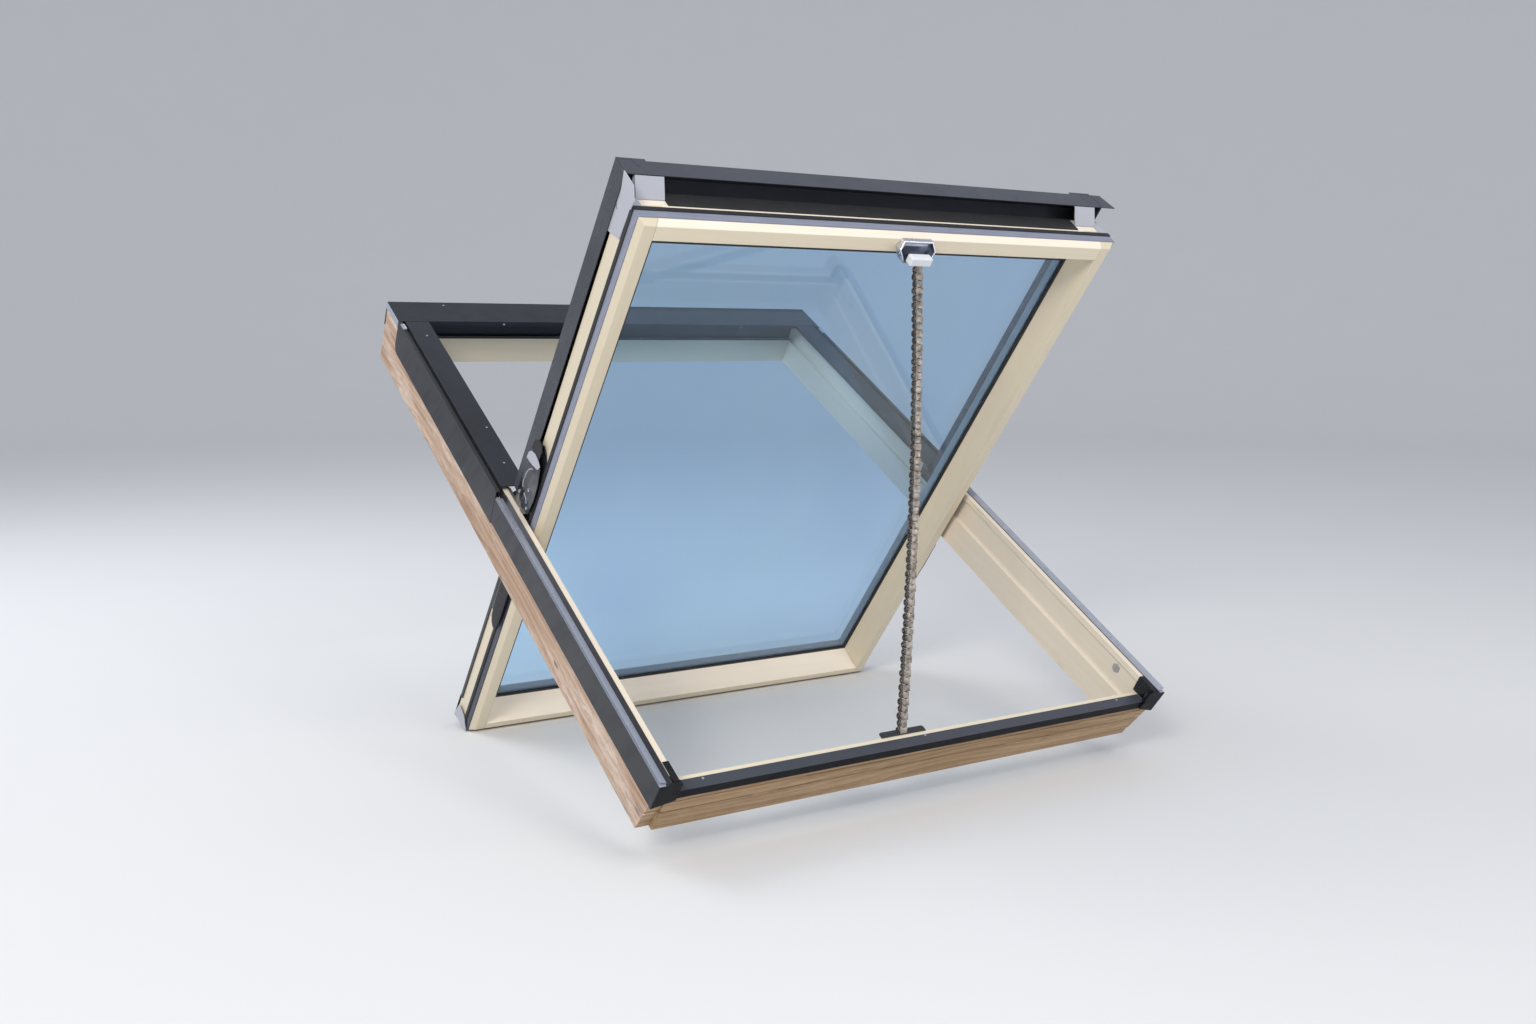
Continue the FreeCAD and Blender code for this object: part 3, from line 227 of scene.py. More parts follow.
def press(piece: Piece, wanted: Wanted, *steps: tuple[float, float], single: bool = False) -> None:
    """Inset the chosen faces, step after step.

    Args:
        piece: The piece.
        wanted: Says which faces are worked.
        steps: Width and rise of each step; a rise below zero sinks.
        single: Whether each face is inset on its own.
    """
    with editing(piece) as mesh:
        choose(mesh, Kind.FACES, wanted)
        for width, rise in steps:
            bpy.ops.mesh.inset(thickness=width, depth=rise, use_individual=single)


def finish_edges(
    piece: Piece,
    width: float,
    segments: int = 2,
    angle: float = 28.0,
    plain_end: float | None = None,
) -> None:
    """Round a piece's sharp edges and shade it.

    Args:
        piece: The piece.
        width: Width of the rounding in metres.
        segments: Steps across the rounding.
        angle: Smallest turn that counts as an edge, in degrees.
        plain_end: Distance from the middle at which the edges of the ends stay sharp.
    """

    def away_from_ends(edge: bmesh.types.BMEdge) -> bool:
        """Whether an edge is sharp and has a corner short of the ends."""
        nearest = min(abs(corner.co.x) for corner in edge.verts)
        return edge.calc_face_angle(0.0) > math.radians(angle) and nearest < plain_end

    take(piece)
    bevel = piece.modifiers.new("rounding", "BEVEL")
    bevel.width = width
    bevel.segments = segments
    bevel.limit_method = "ANGLE"
    bevel.angle_limit = math.radians(angle)
    if plain_end is not None:
        with editing(piece, Kind.EDGES) as mesh:
            choose(mesh, Kind.EDGES, away_from_ends)
            bpy.ops.transform.edge_bevelweight(value=1.0)
        bevel.limit_method = "WEIGHT"
    bpy.ops.object.modifier_apply(modifier=bevel.name)
    bpy.ops.object.shade_smooth_by_angle(angle=SMOOTH_BELOW)
    even = piece.modifiers.new("even_normals", "WEIGHTED_NORMAL")
    even.keep_sharp = True
    bpy.ops.object.modifier_apply(modifier=even.name)


def settle(piece: Piece, plane: Plane) -> None:
    """Move a piece drawn in a plane to its place in the room, its object left at the origin.

    Args:
        piece: The piece.
        plane: The plane that it was drawn in.
    """
    piece.matrix_world = STAND.matrix(plane) @ piece.matrix_world
    take(piece)
    bpy.ops.object.transform_apply(location=True, rotation=True, scale=True)


def carry(piece: Piece, nodes: Sequence[str] = ()) -> Piece:
    """Ride a piece on the window, and hide the solids that it stands for.

    Args:
        piece: The piece, in its place.
        nodes: The solids that it stands for.

    Returns:
        The same piece.
    """
    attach(piece, "root")
    if nodes:
        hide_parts(*nodes)
    return piece


def join(pieces: Sequence[Piece], name: str) -> Piece:
    """Join several pieces into the first, under a new name.

    Args:
        pieces: The pieces, two or more.
        name: The joined piece's name.

    Returns:
        The joined piece.
    """
    bpy.ops.object.select_all(action="DESELECT")
    for piece in pieces:
        piece.select_set(True)
    bpy.context.view_layer.objects.active = pieces[0]
    bpy.ops.object.join()
    pieces[0].name = name
    return pieces[0]


def block(name: str, low: Sequence[float], high: Sequence[float]) -> Piece:
    """Block between two opposite corners.

    Args:
        name: The block's name.
        low: Its lowest corner, in metres.
        high: Its highest corner, in metres.

    Returns:
        The block, drawn at its place.
    """
    centre = [(a + b) / 2 for a, b in zip(low, high)]
    size = [b - a for a, b in zip(low, high)]
    bpy.ops.object.select_all(action="DESELECT")
    bpy.ops.mesh.primitive_cube_add(size=1, location=centre, scale=size)
    return fix_place(name)


def disc(name: str, centre: Point, radius: float, depth: float, turn: Point, corners: int) -> Piece:
    """Short cylinder, its axis along Z before the turn.

    Args:
        name: The disc's name.
        centre: Its middle.
        radius: Its radius.
        depth: Its length along its axis.
        turn: Its turn about the three axes.
        corners: Corners of its outline.

    Returns:
        The disc, drawn at its place.
    """
    size = {"vertices": corners, "radius": radius, "depth": depth}
    bpy.ops.object.select_all(action="DESELECT")
    bpy.ops.mesh.primitive_cylinder_add(**size, location=centre, rotation=turn)
    return fix_place(name)


def ring(name: str, centre: Point, radius: float, wire: float, steps: int, wire_steps: int) -> Piece:
    """Round wire ring that lies across the X axis.

    Args:
        name: The ring's name.
        centre: Its middle.
        radius: Radius of the wire's middle line.
        wire: Radius of the wire.
        steps: Steps round the ring.
        wire_steps: Steps round the wire.

    Returns:
        The ring, drawn at its place.
    """
    size = {"major_radius": radius, "minor_radius": wire}
    mesh = {"major_segments": steps, "minor_segments": wire_steps}
    bpy.ops.object.select_all(action="DESELECT")
    bpy.ops.mesh.primitive_torus_add(**size, **mesh, location=centre, rotation=ALONG_X)
    return fix_place(name)


def panel(name: str, outline: Outline, axis: Axis, level: float, thickness: float) -> Piece:
    """Flat plate with a drawn outline.

    Args:
        name: The plate's name.
        outline: Its corners in mm, in the two directions other than the axis.
        axis: The axis that the plate lies across.
        level: Place of its first face along that axis.
        thickness: Its thickness along that axis, either way.

    Returns:
        The plate, drawn at its place.
    """
    turns = {Axis.X: ALONG_X, Axis.Y: (QUARTER_TURN, 0, 0), Axis.Z: (0, 0, 0)}
    start_radius = 50 * MM
    bpy.ops.object.select_all(action="DESELECT")
    bpy.ops.mesh.primitive_circle_add(
        vertices=len(outline), radius=start_radius, fill_type="NGON", rotation=turns[axis]
    )
    piece = fix_place(name)
    with editing(piece, Kind.CORNERS) as mesh:
        for number, (first, second) in enumerate(outline):
            place = [first * MM, second * MM]
            place.insert(axis.value, level)
            mesh.verts.ensure_lookup_table()
            shift = Vector(place) - mesh.verts[number].co
            choose(mesh, Kind.CORNERS, lambda corner: corner.index == number)
            bpy.ops.transform.translate(value=shift)
    push = Vector((0, 0, 0))
    push[axis.value] = thickness
    with editing(piece):
        bpy.ops.mesh.select_all(action="SELECT")
        bpy.ops.mesh.extrude_region_move(TRANSFORM_OT_translate={"value": push})
        bpy.ops.mesh.select_all(action="SELECT")
        bpy.ops.mesh.normals_make_consistent(inside=False)
    return piece


def screw(name: str, centre: Point, radius: float, turn: Point) -> Piece:
    """Domed screw head with a sunk drive, its axis along Z before the turn.

    Args:
        name: The head's name.
        centre: Its middle.
        radius: Its radius.
        turn: Its turn about the three axes.

    Returns:
        The head, drawn at its place.
    """
    corners = 16
    depth = radius * 0.7
    dome = (radius * 0.25, radius * 0.12)
    land = (radius * 0.35, 0)
    drive = (radius * 0.05, -radius * 0.2)
    head = disc(name, centre, radius, depth, turn, corners)
    press(head, lambda face: len(face.verts) == corners, dome, land, drive, single=True)
    take(head)
    bpy.ops.object.shade_smooth_by_angle(angle=math.radians(35))
    return head


def cut_across(piece: Piece, at: float, keep_beyond: bool) -> None:
    """Cut through a piece of the sash, across its length.

    Args:
        piece: The piece, in place in the room.
        at: Place of the cut along the sash.
        keep_beyond: Whether what lies beyond the cut stays.
    """
    place = STAND.matrix(Plane.SASH)
    cut = {"plane_co": place @ Vector((0, at, 0)), "plane_no": place.to_3x3() @ Vector((0, 1, 0))}
    with editing(piece):
        bpy.ops.mesh.select_all(action="SELECT")
        bpy.ops.mesh.bisect(**cut, use_fill=not keep_beyond, clear_outer=not keep_beyond)


def twin(piece: Piece, name: str) -> Piece:
    """Copy of a piece with its own mesh.

    Args:
        piece: The piece to copy.
        name: The copy's name.

    Returns:
        The copy.
    """
    copy = bpy.data.objects.new(name, piece.data.copy())
    bpy.context.scene.collection.objects.link(copy)
    return copy


def solid_copy(node: str, name: str) -> Piece:
    """Clean copy of a solid: its corners merged and its flat faces whole.

    Args:
        node: The solid's name.
        name: The copy's name.

    Returns:
        The copy, in place in the room.
    """
    same_corner = MM / 100
    flat_below = math.radians(0.6)
    piece = twin(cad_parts[node], name)
    piece.data.materials.clear()
    take(piece)
    bpy.ops.mesh.customdata_custom_splitnormals_clear()
    bpy.ops.object.mode_set(mode="EDIT")
    bpy.ops.mesh.select_all(action="SELECT")
    bpy.ops.mesh.remove_doubles(threshold=same_corner)
    bpy.ops.mesh.dissolve_limited(angle_limit=flat_below)
    bpy.ops.object.mode_set(mode="OBJECT")
    return piece


class Recipe:
    """A material's nodes, put together step by step."""

    def __init__(self, name: str) -> None:
        """Start a material with one surface node.

        Args:
            name: The material's name.
        """
        self.material = bpy.data.materials.new(name)
        self.material.use_nodes = True
        self.tree = self.material.node_tree
        self.surface = self.tree.nodes["Principled BSDF"]

    def feed(self, entry: Socket, value: object) -> None:
        """Join a node's input to a socket, or set it.

        Args:
            entry: The input.
            value: A socket, a number, a turn or a colour.
        """
        if isinstance(value, bpy.types.NodeSocket):
            self.tree.links.new(value, entry)
        elif entry.type == "RGBA":
            entry.default_value = (*value, 1.0)
        else:
            entry.default_value = value

    def add(self, kind: str, inputs: dict, **settings: object) -> bpy.types.Node:
        """Add a node.

        Args:
            kind: The node's type.
            inputs: What each input is joined or set to.
            settings: Its properties.

        Returns:
            The node.
        """
        node = self.tree.nodes.new(kind)
        for key, value in settings.items():
            setattr(node, key, value)
        for key, value in inputs.items():
            self.feed(node.inputs[key], value)
        return node

    def place(
        self, turn: Point = (0, 0, 0), scale: Point = (1, 1, 1), shift: Point = (0, 0, 0)
    ) -> Socket:
        """Place on the object, turned and then stretched.

        Args:
            turn: Turn about the three axes.
            scale: How often the pattern fits along each axis.
            shift: Shift before the stretch.

        Returns:
            The place.
        """
        coordinates = self.add("ShaderNodeTexCoord", {}).outputs["Object"]
        inputs = {"Vector": coordinates, "Rotation": turn, "Location": shift}
        turned = self.add("ShaderNodeMapping", inputs).outputs[0]
        return self.add("ShaderNodeMapping", {"Vector": turned, "Scale": scale}).outputs[0]

    def noise(self, place: Socket, scale: float, detail: float = 4.0, rough: float = 0.55) -> Socket:
        """Soft random pattern from 0 to 1."""
        inputs = {"Vector": place, "Scale": scale, "Detail": detail, "Roughness": rough}
        return self.add("ShaderNodeTexNoise", inputs).outputs["Fac"]

    def spread(
        self, value: Socket, low: float, high: float, to_low: float = 0.0, to_high: float = 1.0
    ) -> Socket:
        """Stretch a part of a value's range over another range."""
        inputs = {"Value": value, "From Min": low, "From Max": high, "To Min": to_low, "To Max": to_high}
        return self.add("ShaderNodeMapRange", inputs).outputs[0]

    def cells(
        self, place: Socket, above: float, channel: int = 0, scale: float = 1.0
    ) -> tuple[Socket, Socket]:
        """Scattered cells, of which a few are picked.

        Args:
            place: Where the pattern is read.
            above: The share of the cells that isn't picked.
            channel: Which of three draws picks them.
            scale: How often the pattern fits.

        Returns:
            Distance from the nearest cell's middle, and 1 in the picked cells.
        """
        cells = self.add("ShaderNodeTexVoronoi", {"Vector": place, "Scale": scale})
        draws = self.add("ShaderNodeSeparateColor", {0: cells.outputs["Color"]})
        picked = self.work("GREATER_THAN", draws.outputs[channel], above)
        return cells.outputs["Distance"], picked

    def work(self, operation: str, value: Socket, by: Socket | float) -> Socket:
        """Arithmetic on two values."""
        return self.add("ShaderNodeMath", {0: value, 1: by}, operation=operation).outputs[0]

    def times(self, value: Socket, by: Socket | float) -> Socket:
        """Product of two values."""
        return self.work("MULTIPLY", value, by)

    def plus(self, value: Socket, by: Socket | float) -> Socket:
        """Sum of two values."""
        return self.work("ADD", value, by)

    def blend(self, share: Socket, first: Socket | Colour, second: Socket | Colour) -> Socket:
        """Blend of two colours, each a colour or a socket."""
        return self.add("ShaderNodeMix", {0: share, 6: first, 7: second}, data_type="RGBA").outputs[2]

    def bump(self, height: Socket, strength: float, distance: float) -> None:
        """Raise the surface by a pattern."""
        inputs = {"Height": height, "Strength": strength, "Distance": distance}
        self.feed(self.surface.inputs["Normal"], self.add("ShaderNodeBump", inputs).outputs[0])

    def put(self, inputs: dict) -> Material:
        """Set the surface's inputs, and hand the material over.

        Args:
            inputs: What each input is joined or set to.

        Returns:
            The material.
        """
        for key, value in inputs.items():
            self.feed(self.surface.inputs[key], value)
        return self.material


@dataclass(frozen=True)
class PineFinish:
    """Pine with its grain along the bar, under a clear lacquer unless stated otherwise."""

    name: str
    light: Colour
    dark: Colour
    run: Run
    contrast: float = 0.26
    knots: float = 0.12
    roughness: float = 0.40
    coat: float = 0.35
    relief: float = 0.06
    fuzz: float = 0.0
    pale: Colour = (0.86, 0.75, 0.66)
    knot: Colour = (0.11, 0.045, 0.02)

    WARP = (6, 1.2, 6)
    RINGS = (1, 0.05, 1)
    STREAKS = (70, 2.2, 70)
    FIBRES = (900, 16, 900)
    KNOT_CELLS = (13, 6.5, 13)
    PATCHES = (24, 3.4, 24)
    PLANED = (330, 42, 330)
    NICKS = (75, 17, 75)
    NICK_SHIFT = (0.3, 0.1, 0.2)

    def along(self, mix: Recipe, scale: Point, shift: Point = (0, 0, 0)) -> Socket:
        """Place on the bar, with the pattern's Y axis along the grain."""
        return mix.place(STAND.grain_turn(self.run), scale, shift)

    def growth(self, mix: Recipe) -> Socket:
        """Growth rings along the bar, pushed about by a slow warp.

        Args:
            mix: The material's recipe.

        Returns:
            The rings, from 0 to 1.
        """
        warp = mix.noise(self.along(mix, self.WARP), 1.0, 2.0)
        push = mix.add("ShaderNodeCombineXYZ", {0: mix.times(warp, 0.10), 2: mix.times(warp, 0.06)})
        inputs = {0: self.along(mix, self.RINGS), 1: push.outputs[0]}
        place = mix.add("ShaderNodeVectorMath", inputs, operation="ADD").outputs[0]
        inputs = {"Vector": place, "Scale": 38.0, "Distortion": 1.6, "Detail": 2.0, "Detail Scale": 1.5}
        bands = {"wave_type": "BANDS", "bands_direction": "DIAGONAL", "wave_profile": "SAW"}
        return mix.add("ShaderNodeTexWave", inputs, **bands).outputs["Fac"]

    def with_knots(self, mix: Recipe, base: Socket) -> Socket:
        """Colour with knots and their darker surround.

        Args:
            mix: The material's recipe.
            base: The colour without them.

        Returns:
            The colour with them.
        """
        distance, picked = mix.cells(self.along(mix, self.KNOT_CELLS), 0.62)
        halo = mix.times(mix.spread(distance, 0.30, 0.05), picked)
        core = mix.times(mix.spread(distance, 0.10, 0.03), picked)
        base = mix.blend(mix.times(halo, 0.30 * self.knots), base, self.dark)
        return mix.blend(mix.times(core, self.knots), base, self.knot)

    def with_wear(self, mix: Recipe, base: Socket) -> Socket:
        """Colour with pale planed fibres and a few dark nicks.

        Args:
            mix: The material's recipe.
            base: The colour without them.

        Returns:
            The colour with them.
        """
        patches = mix.spread(mix.noise(self.along(mix, self.PATCHES), 1.0, 6.0, 0.7), 0.44, 0.66)
        planed = mix.spread(mix.noise(self.along(mix, self.PLANED), 1.0, 5.0, 0.75), 0.34, 0.62)
        base = mix.blend(mix.times(mix.times(patches, planed), self.fuzz), base, self.pale)
        distance, picked = mix.cells(self.along(mix, self.NICKS, self.NICK_SHIFT), 0.93, channel=1)
        nick = mix.times(mix.spread(distance, 0.30, 0.12), picked)
        return mix.blend(mix.times(nick, self.fuzz), base, self.knot)

    def material(self) -> Material:
        """Growth rings, streaks, fibres, knots and wear in one material.

        Returns:
            The material.
        """
        mix = Recipe(self.name)
        rings = self.growth(mix)
        streaks = mix.spread(mix.noise(self.along(mix, self.STREAKS), 1.0, 5.0), 0.3, 0.75)
        fibres = mix.noise(self.along(mix, self.FIBRES), 1.0, 3.0)
        tone = mix.plus(mix.times(rings, 0.40), mix.times(streaks, 0.46))
        tone = mix.plus(tone, mix.times(fibres, 0.2))
        base = mix.blend(mix.times(tone, self.contrast), self.light, self.dark)
        base = self.with_wear(mix, self.with_knots(mix, base))
        mix.bump(mix.plus(fibres, mix.times(rings, 0.4)), self.relief, 0.4 * MM)
        rough = mix.spread(streaks, 0.0, 1.0, self.roughness - 0.05, self.roughness + 0.08)
        lacquer = {"Coat Weight": self.coat, "Coat Roughness": 0.28}
        return mix.put({"Base Color": base, "Roughness": rough} | lacquer)


@dataclass(frozen=True)
class SheetFinish:
    """Coated aluminium sheet with faint cloudiness, dust and a fine texture."""

    name: str
    shade: Colour
    dust: Colour
    roughness: float = 0.42
    metallic: float = 0.0
    clouds: float = 0.3
    gloss: float = 0.42

    SMEAR_TURN = (0.5, 0, 0)
    SMEARS = (9, 2, 9)
    SPECKS = 46.0
    GRAIN = 900.0

    def material(self) -> Material:
        """Clouded coat with small pale specks.

        Returns:
            The material.
        """
        mix = Recipe(self.name)
        clouds = mix.spread(mix.noise(mix.place(), 7.0, 5.0, 0.6), 0.35, 0.75)
        smears = mix.spread(mix.noise(mix.place(self.SMEAR_TURN, self.SMEARS), 4.0), 0.45, 0.8)
        base = mix.blend(mix.times(clouds, self.clouds), self.shade, self.dust)
        distance, picked = mix.cells(mix.place(), 0.93, scale=self.SPECKS)
        speck = mix.times(mix.spread(distance, 0.055, 0.02), picked)
        base = mix.blend(mix.times(speck, 0.5), base, self.dust)
        mix.bump(mix.noise(mix.place(), self.GRAIN, 2.0), 0.06, 0.2 * MM)
        rough = mix.spread(smears, 0.0, 1.0, self.roughness - 0.05, self.roughness + 0.10)
        coat = {"Metallic": self.metallic, "Specular IOR Level": self.gloss}
        return mix.put({"Base Color": base, "Roughness": rough} | coat)


@dataclass(frozen=True)
class SoftFinish:
    """Rubber, foam, film or plastic with a lengthwise extrusion texture."""

    name: str
    shade: Colour
    worn: Colour
    roughness: float = 0.6
    texture: float = 0.2
    ripples: float = 0.0
    gloss: float = 0.5

    STREAK_TURN = (0.6, 0, 0)
    STREAKS = (8, 8, 60)
    FOLD_TURN = (0.8, 0, 0)
    FOLDS = (26, 12, 26)
    GRAIN = 420.0

    def material(self) -> Material:
        """Matt skin with soft streaks, or glossy folds when there are ripples.

        Returns:
            The material.
        """
        mix = Recipe(self.name)
        streaks = mix.noise(mix.place(self.STREAK_TURN, self.STREAKS), 3.0)
        grain = mix.noise(mix.place(), self.GRAIN, 3.0)
        base = mix.blend(mix.times(mix.spread(streaks, 0.35, 0.75), 0.5), self.shade, self.worn)
        if self.ripples:
            mix.bump(mix.noise(mix.place(self.FOLD_TURN, self.FOLDS), 1.0, 2.0), self.ripples, 6 * MM)
        else:
            mix.bump(grain, self.texture, 0.3 * MM)
        rough = mix.spread(grain, 0.3, 0.7, self.roughness - 0.06, self.roughness + 0.06)
        return mix.put({"Base Color": base, "Roughness": rough, "Specular IOR Level": self.gloss})


@dataclass(frozen=True)
class MetalFinish:
    """Bare or plated steel with a stain pattern and fine scratches."""

    name: str
    shade: Colour
    stain: Colour
    roughness: float
    stains: float
    stain_size: float

    SCRATCH_TURN = (0.3, 0.2, 0.1)
    SCRATCHES = (40, 900, 300)

    def material(self) -> Material:
        """Metal with stains and rubbed highlights.

        Returns:
            The material.
        """
        mix = Recipe(self.name)
        stains = mix.spread(mix.noise(mix.place(), self.stain_size, 5.0, 0.65), 0.38, 0.68)
        scratches = mix.noise(mix.place(self.SCRATCH_TURN, self.SCRATCHES), 1.0, 2.0)
        base = mix.blend(mix.times(stains, self.stains), self.shade, self.stain)
        mix.bump(scratches, 0.08, 0.2 * MM)
        rough = mix.spread(stains, 0.0, 1.0, self.roughness, self.roughness + 0.18)
        return mix.put({"Base Color": base, "Roughness": rough, "Metallic": 1.0})


@dataclass(frozen=True)
class GlassFinish:
    """Clear float glass, tinted blue as a painted reflection of the sky."""

    name: str
    tint: Colour

    REFLECTION_TURN = (0.4, 0, 0)
    REFLECTION_SCALE = (3, 1, 1)

    def material(self) -> Material:
        """Glass with a faint mottle of painted reflection.

        Returns:
            The material.
        """
        mix = Recipe(self.name)
        painted_reflection = mix.spread(mix.noise(mix.place(self.REFLECTION_TURN, self.REFLECTION_SCALE), 1.5, 3.0), 0.3, 0.7)
        paler = tuple(min(1.0, c * 1.03) for c in self.tint)
        glass = {"Roughness": 0.0, "Transmission Weight": 1.0, "IOR": 1.45}
        return mix.put({"Base Color": mix.blend(painted_reflection, self.tint, paler)} | glass)


@dataclass(frozen=True)
class BackdropFinish:
    """Matt pale paper under and behind the window."""

    name: str
    shade: Colour

    def material(self) -> Material:
        """Plain paper with a very faint mottle.

        Returns:
            The material.
        """
        mix = Recipe(self.name)
        paler = tuple(min(1.0, c * 1.02) for c in self.shade)
        base = mix.blend(mix.noise(mix.place(), 3.0, 2.0), self.shade, paler)
        return mix.put({"Base Color": base, "Roughness": 0.85, "Specular IOR Level": 0.2})


PINE_FINISHES = (
    PineFinish(
        "bare_pine_up_slope", (0.60, 0.425, 0.30), (0.24, 0.125, 0.07), Run.UP_SLOPE,
        contrast=1.0, knots=0.95, roughness=0.62, coat=0.0, relief=0.6, fuzz=0.9,
    ),
    PineFinish(
        "bare_pine_across", (0.50, 0.33, 0.17), (0.17, 0.09, 0.04), Run.ACROSS,
        contrast=1.0, knots=1.0, roughness=0.60, coat=0.0, relief=0.6, fuzz=0.35,
        pale=(0.78, 0.60, 0.40),
    ),
    PineFinish("lacquered_pine_up_slope", (0.86, 0.755, 0.61), (0.72, 0.59, 0.43), Run.UP_SLOPE),
    # Paler copy of the lacquered pine: painted highlight on the faces of the sash rails that look down the
    # sash.
    PineFinish("painted_highlight_pine", (0.93, 0.835, 0.70), (0.80, 0.66, 0.49), Run.ACROSS),
    PineFinish("lacquered_pine_across", (0.80, 0.71, 0.54), (0.66, 0.54, 0.37), Run.ACROSS),
    PineFinish("lacquered_pine_along_sash", (0.73, 0.645, 0.485), (0.60, 0.49, 0.34), Run.ALONG_SASH),
)
SHEET_FINISHES = (
    SheetFinish(
        "coated_sheet", (0.013, 0.0145, 0.020), (0.034, 0.037, 0.047),
        roughness=0.38, clouds=0.4, gloss=0.34,
    ),
    # Lighter copy of the coated sheet: painted light on the apron and on the top of the bottom cladding.
    SheetFinish("apron_sheet", (0.05, 0.055, 0.07), (0.085, 0.09, 0.11), roughness=0.4),
    # Darker copy of the coated sheet: painted shade on the front drops.
    SheetFinish("painted_shade_sheet", (0.008, 0.009, 0.012), (0.016, 0.017, 0.021), roughness=0.55, gloss=0.12),
    SheetFinish("deep_coated_sheet", (0.030, 0.032, 0.036), (0.08, 0.08, 0.085), roughness=0.5),
    SheetFinish("pale_coated_sheet", (0.42, 0.43, 0.48), (0.54, 0.55, 0.59), clouds=0.4),
    SheetFinish(
        "dark_hinge_sheet", (0.035, 0.037, 0.042), (0.15, 0.15, 0.16), roughness=0.34, metallic=0.4
    ),
    # Pale copy of the coated sheet: painted highlight on flanges, edges, hood ends, ribs and screw heads.
    SheetFinish(
        "painted_highlight_sheet", (0.34, 0.365, 0.43), (0.42, 0.44, 0.50), roughness=0.28, metallic=0.1, gloss=0.6
    ),
    # Lighter copy of the coated sheet: painted light on the sash side covers.
    SheetFinish(
        "painted_lit_side_sheet", (0.045, 0.049, 0.062), (0.085, 0.086, 0.10),
        roughness=0.3, metallic=0.1, clouds=0.8,
    ),
)
SOFT_FINISHES = (
    SoftFinish("pale_seal", (0.22, 0.24, 0.31), (0.32, 0.34, 0.42), roughness=0.5, texture=0.15),
    # Darker copy of the seal: painted shade on the seal beyond the pivot.
    SoftFinish("painted_shade_seal", (0.035, 0.04, 0.06), (0.07, 0.075, 0.10), roughness=0.45, texture=0.15),
    SoftFinish("spacer_film", (0.50, 0.56, 0.62), (0.58, 0.62, 0.66), roughness=0.5, texture=0.1),
    # Black rubber of the gaskets and seals, also used as painted shade in the jamb grooves.
    SoftFinish("black_rubber", (0.012, 0.012, 0.014), (0.03, 0.03, 0.033), roughness=0.62),
    SoftFinish(
        "cap_plastic", (0.008, 0.009, 0.012), (0.02, 0.021, 0.027),
        roughness=0.2, texture=0.04, gloss=0.3,
    ),
    SoftFinish(
        "film_black", (0.016, 0.018, 0.024), (0.05, 0.052, 0.062),
        roughness=0.13, ripples=0.9, gloss=0.8,
    ),
    SoftFinish("pale_plastic", (0.74, 0.75, 0.79), (0.82, 0.83, 0.86), roughness=0.35, texture=0.08),
    SoftFinish("worn_plastic", (0.36, 0.35, 0.35), (0.54, 0.53, 0.52), roughness=0.5, texture=0.5),
    SoftFinish("chain_shadow", (0.016, 0.015, 0.015), (0.045, 0.04, 0.036), roughness=0.4, gloss=0.3),
)
METAL_FINISHES = (
    # Dark steel of the stirrup's back plate and pins, also used as painted shade on the stirrup's inner
    # walls.
    MetalFinish(
        "dark_steel_and_painted_shade", (0.26, 0.29, 0.36), (0.13, 0.14, 0.17), roughness=0.3, stains=0.3, stain_size=30
    ),
    MetalFinish(
        "chain_steel", (0.40, 0.36, 0.32), (0.12, 0.09, 0.065),
        roughness=0.32, stains=0.85, stain_size=120,
    ),
    MetalFinish(
        "bright_steel", (0.72, 0.73, 0.77), (0.46, 0.46, 0.50),
        roughness=0.22, stains=0.35, stain_size=20,
    ),
)
OTHER_FINISHES = (
    # Blue tint: painted reflection of the sky.
    GlassFinish("painted_sky_glass", (0.705, 0.855, 1.0)),
    BackdropFinish("paper", (0.78, 0.78, 0.775)),
)


@dataclass
class Wardrobe:
    """Every finish of the window, made once."""

    made: dict[str, Material] = field(default_factory=dict)

    def stock(self) -> None:
        """Make all the materials."""
        for entry in PINE_FINISHES + SHEET_FINISHES + SOFT_FINISHES + METAL_FINISHES + OTHER_FINISHES:
            self.made[entry.name] = entry.material()

    def dress(self, piece: Piece, finish: str) -> None:
        """Give a piece one finish all over."""
        piece.data.materials.clear()
        piece.data.materials.append(self.made[finish])

    def accent(self, piece: Piece, finish: str, plane: Plane, wanted: WantedAt) -> None:
        """Give the faces that pass a test another finish.

        Args:
            piece: The piece, in place in the room.
            finish: The other finish.
            plane: The plane that the test reads places and normals in.
            wanted: Takes a face's centre and normal.
        """
        back = STAND.matrix(plane).inverted()
        turn = back.to_3x3()
        index = len(piece.data.materials)
        piece.data.materials.append(self.made[finish])
        for face in piece.data.polygons:
            if wanted(back @ face.center, turn @ face.normal):
                face.material_index = index


@dataclass
class SubAssembly:
    """Pieces of the window that are made together."""

    wardrobe: Wardrobe

    def shaped(self, node: str, name: str, rounding: float, finish: str) -> Piece:
        """Clean copy of a solid with rounded edges and one finish.

        Args:
            node: The solid's name.
            name: The copy's name.
            rounding: Width of the rounding.
            finish: The finish.

        Returns:
            The copy, in place in the room.
        """
        piece = solid_copy(node, name)
        finish_edges(piece, rounding)
        self.wardrobe.dress(piece, finish)
        return piece

    def place(
        self, piece: Piece, finish: str, plane: Plane, slot: str, nodes: Sequence[str] = ()
    ) -> Piece:
        """Dress a piece drawn in a plane, and set it in its place.

        Args:
            piece: The piece as drawn.
            finish: Its finish.
            plane: The plane that it was drawn in.
            slot: Its material slot in the part; not used.
            nodes: The solids that it stands for.

        Returns:
            The same piece.
        """
        self.wardrobe.dress(piece, finish)
        settle(piece, plane)
        return carry(piece, nodes)


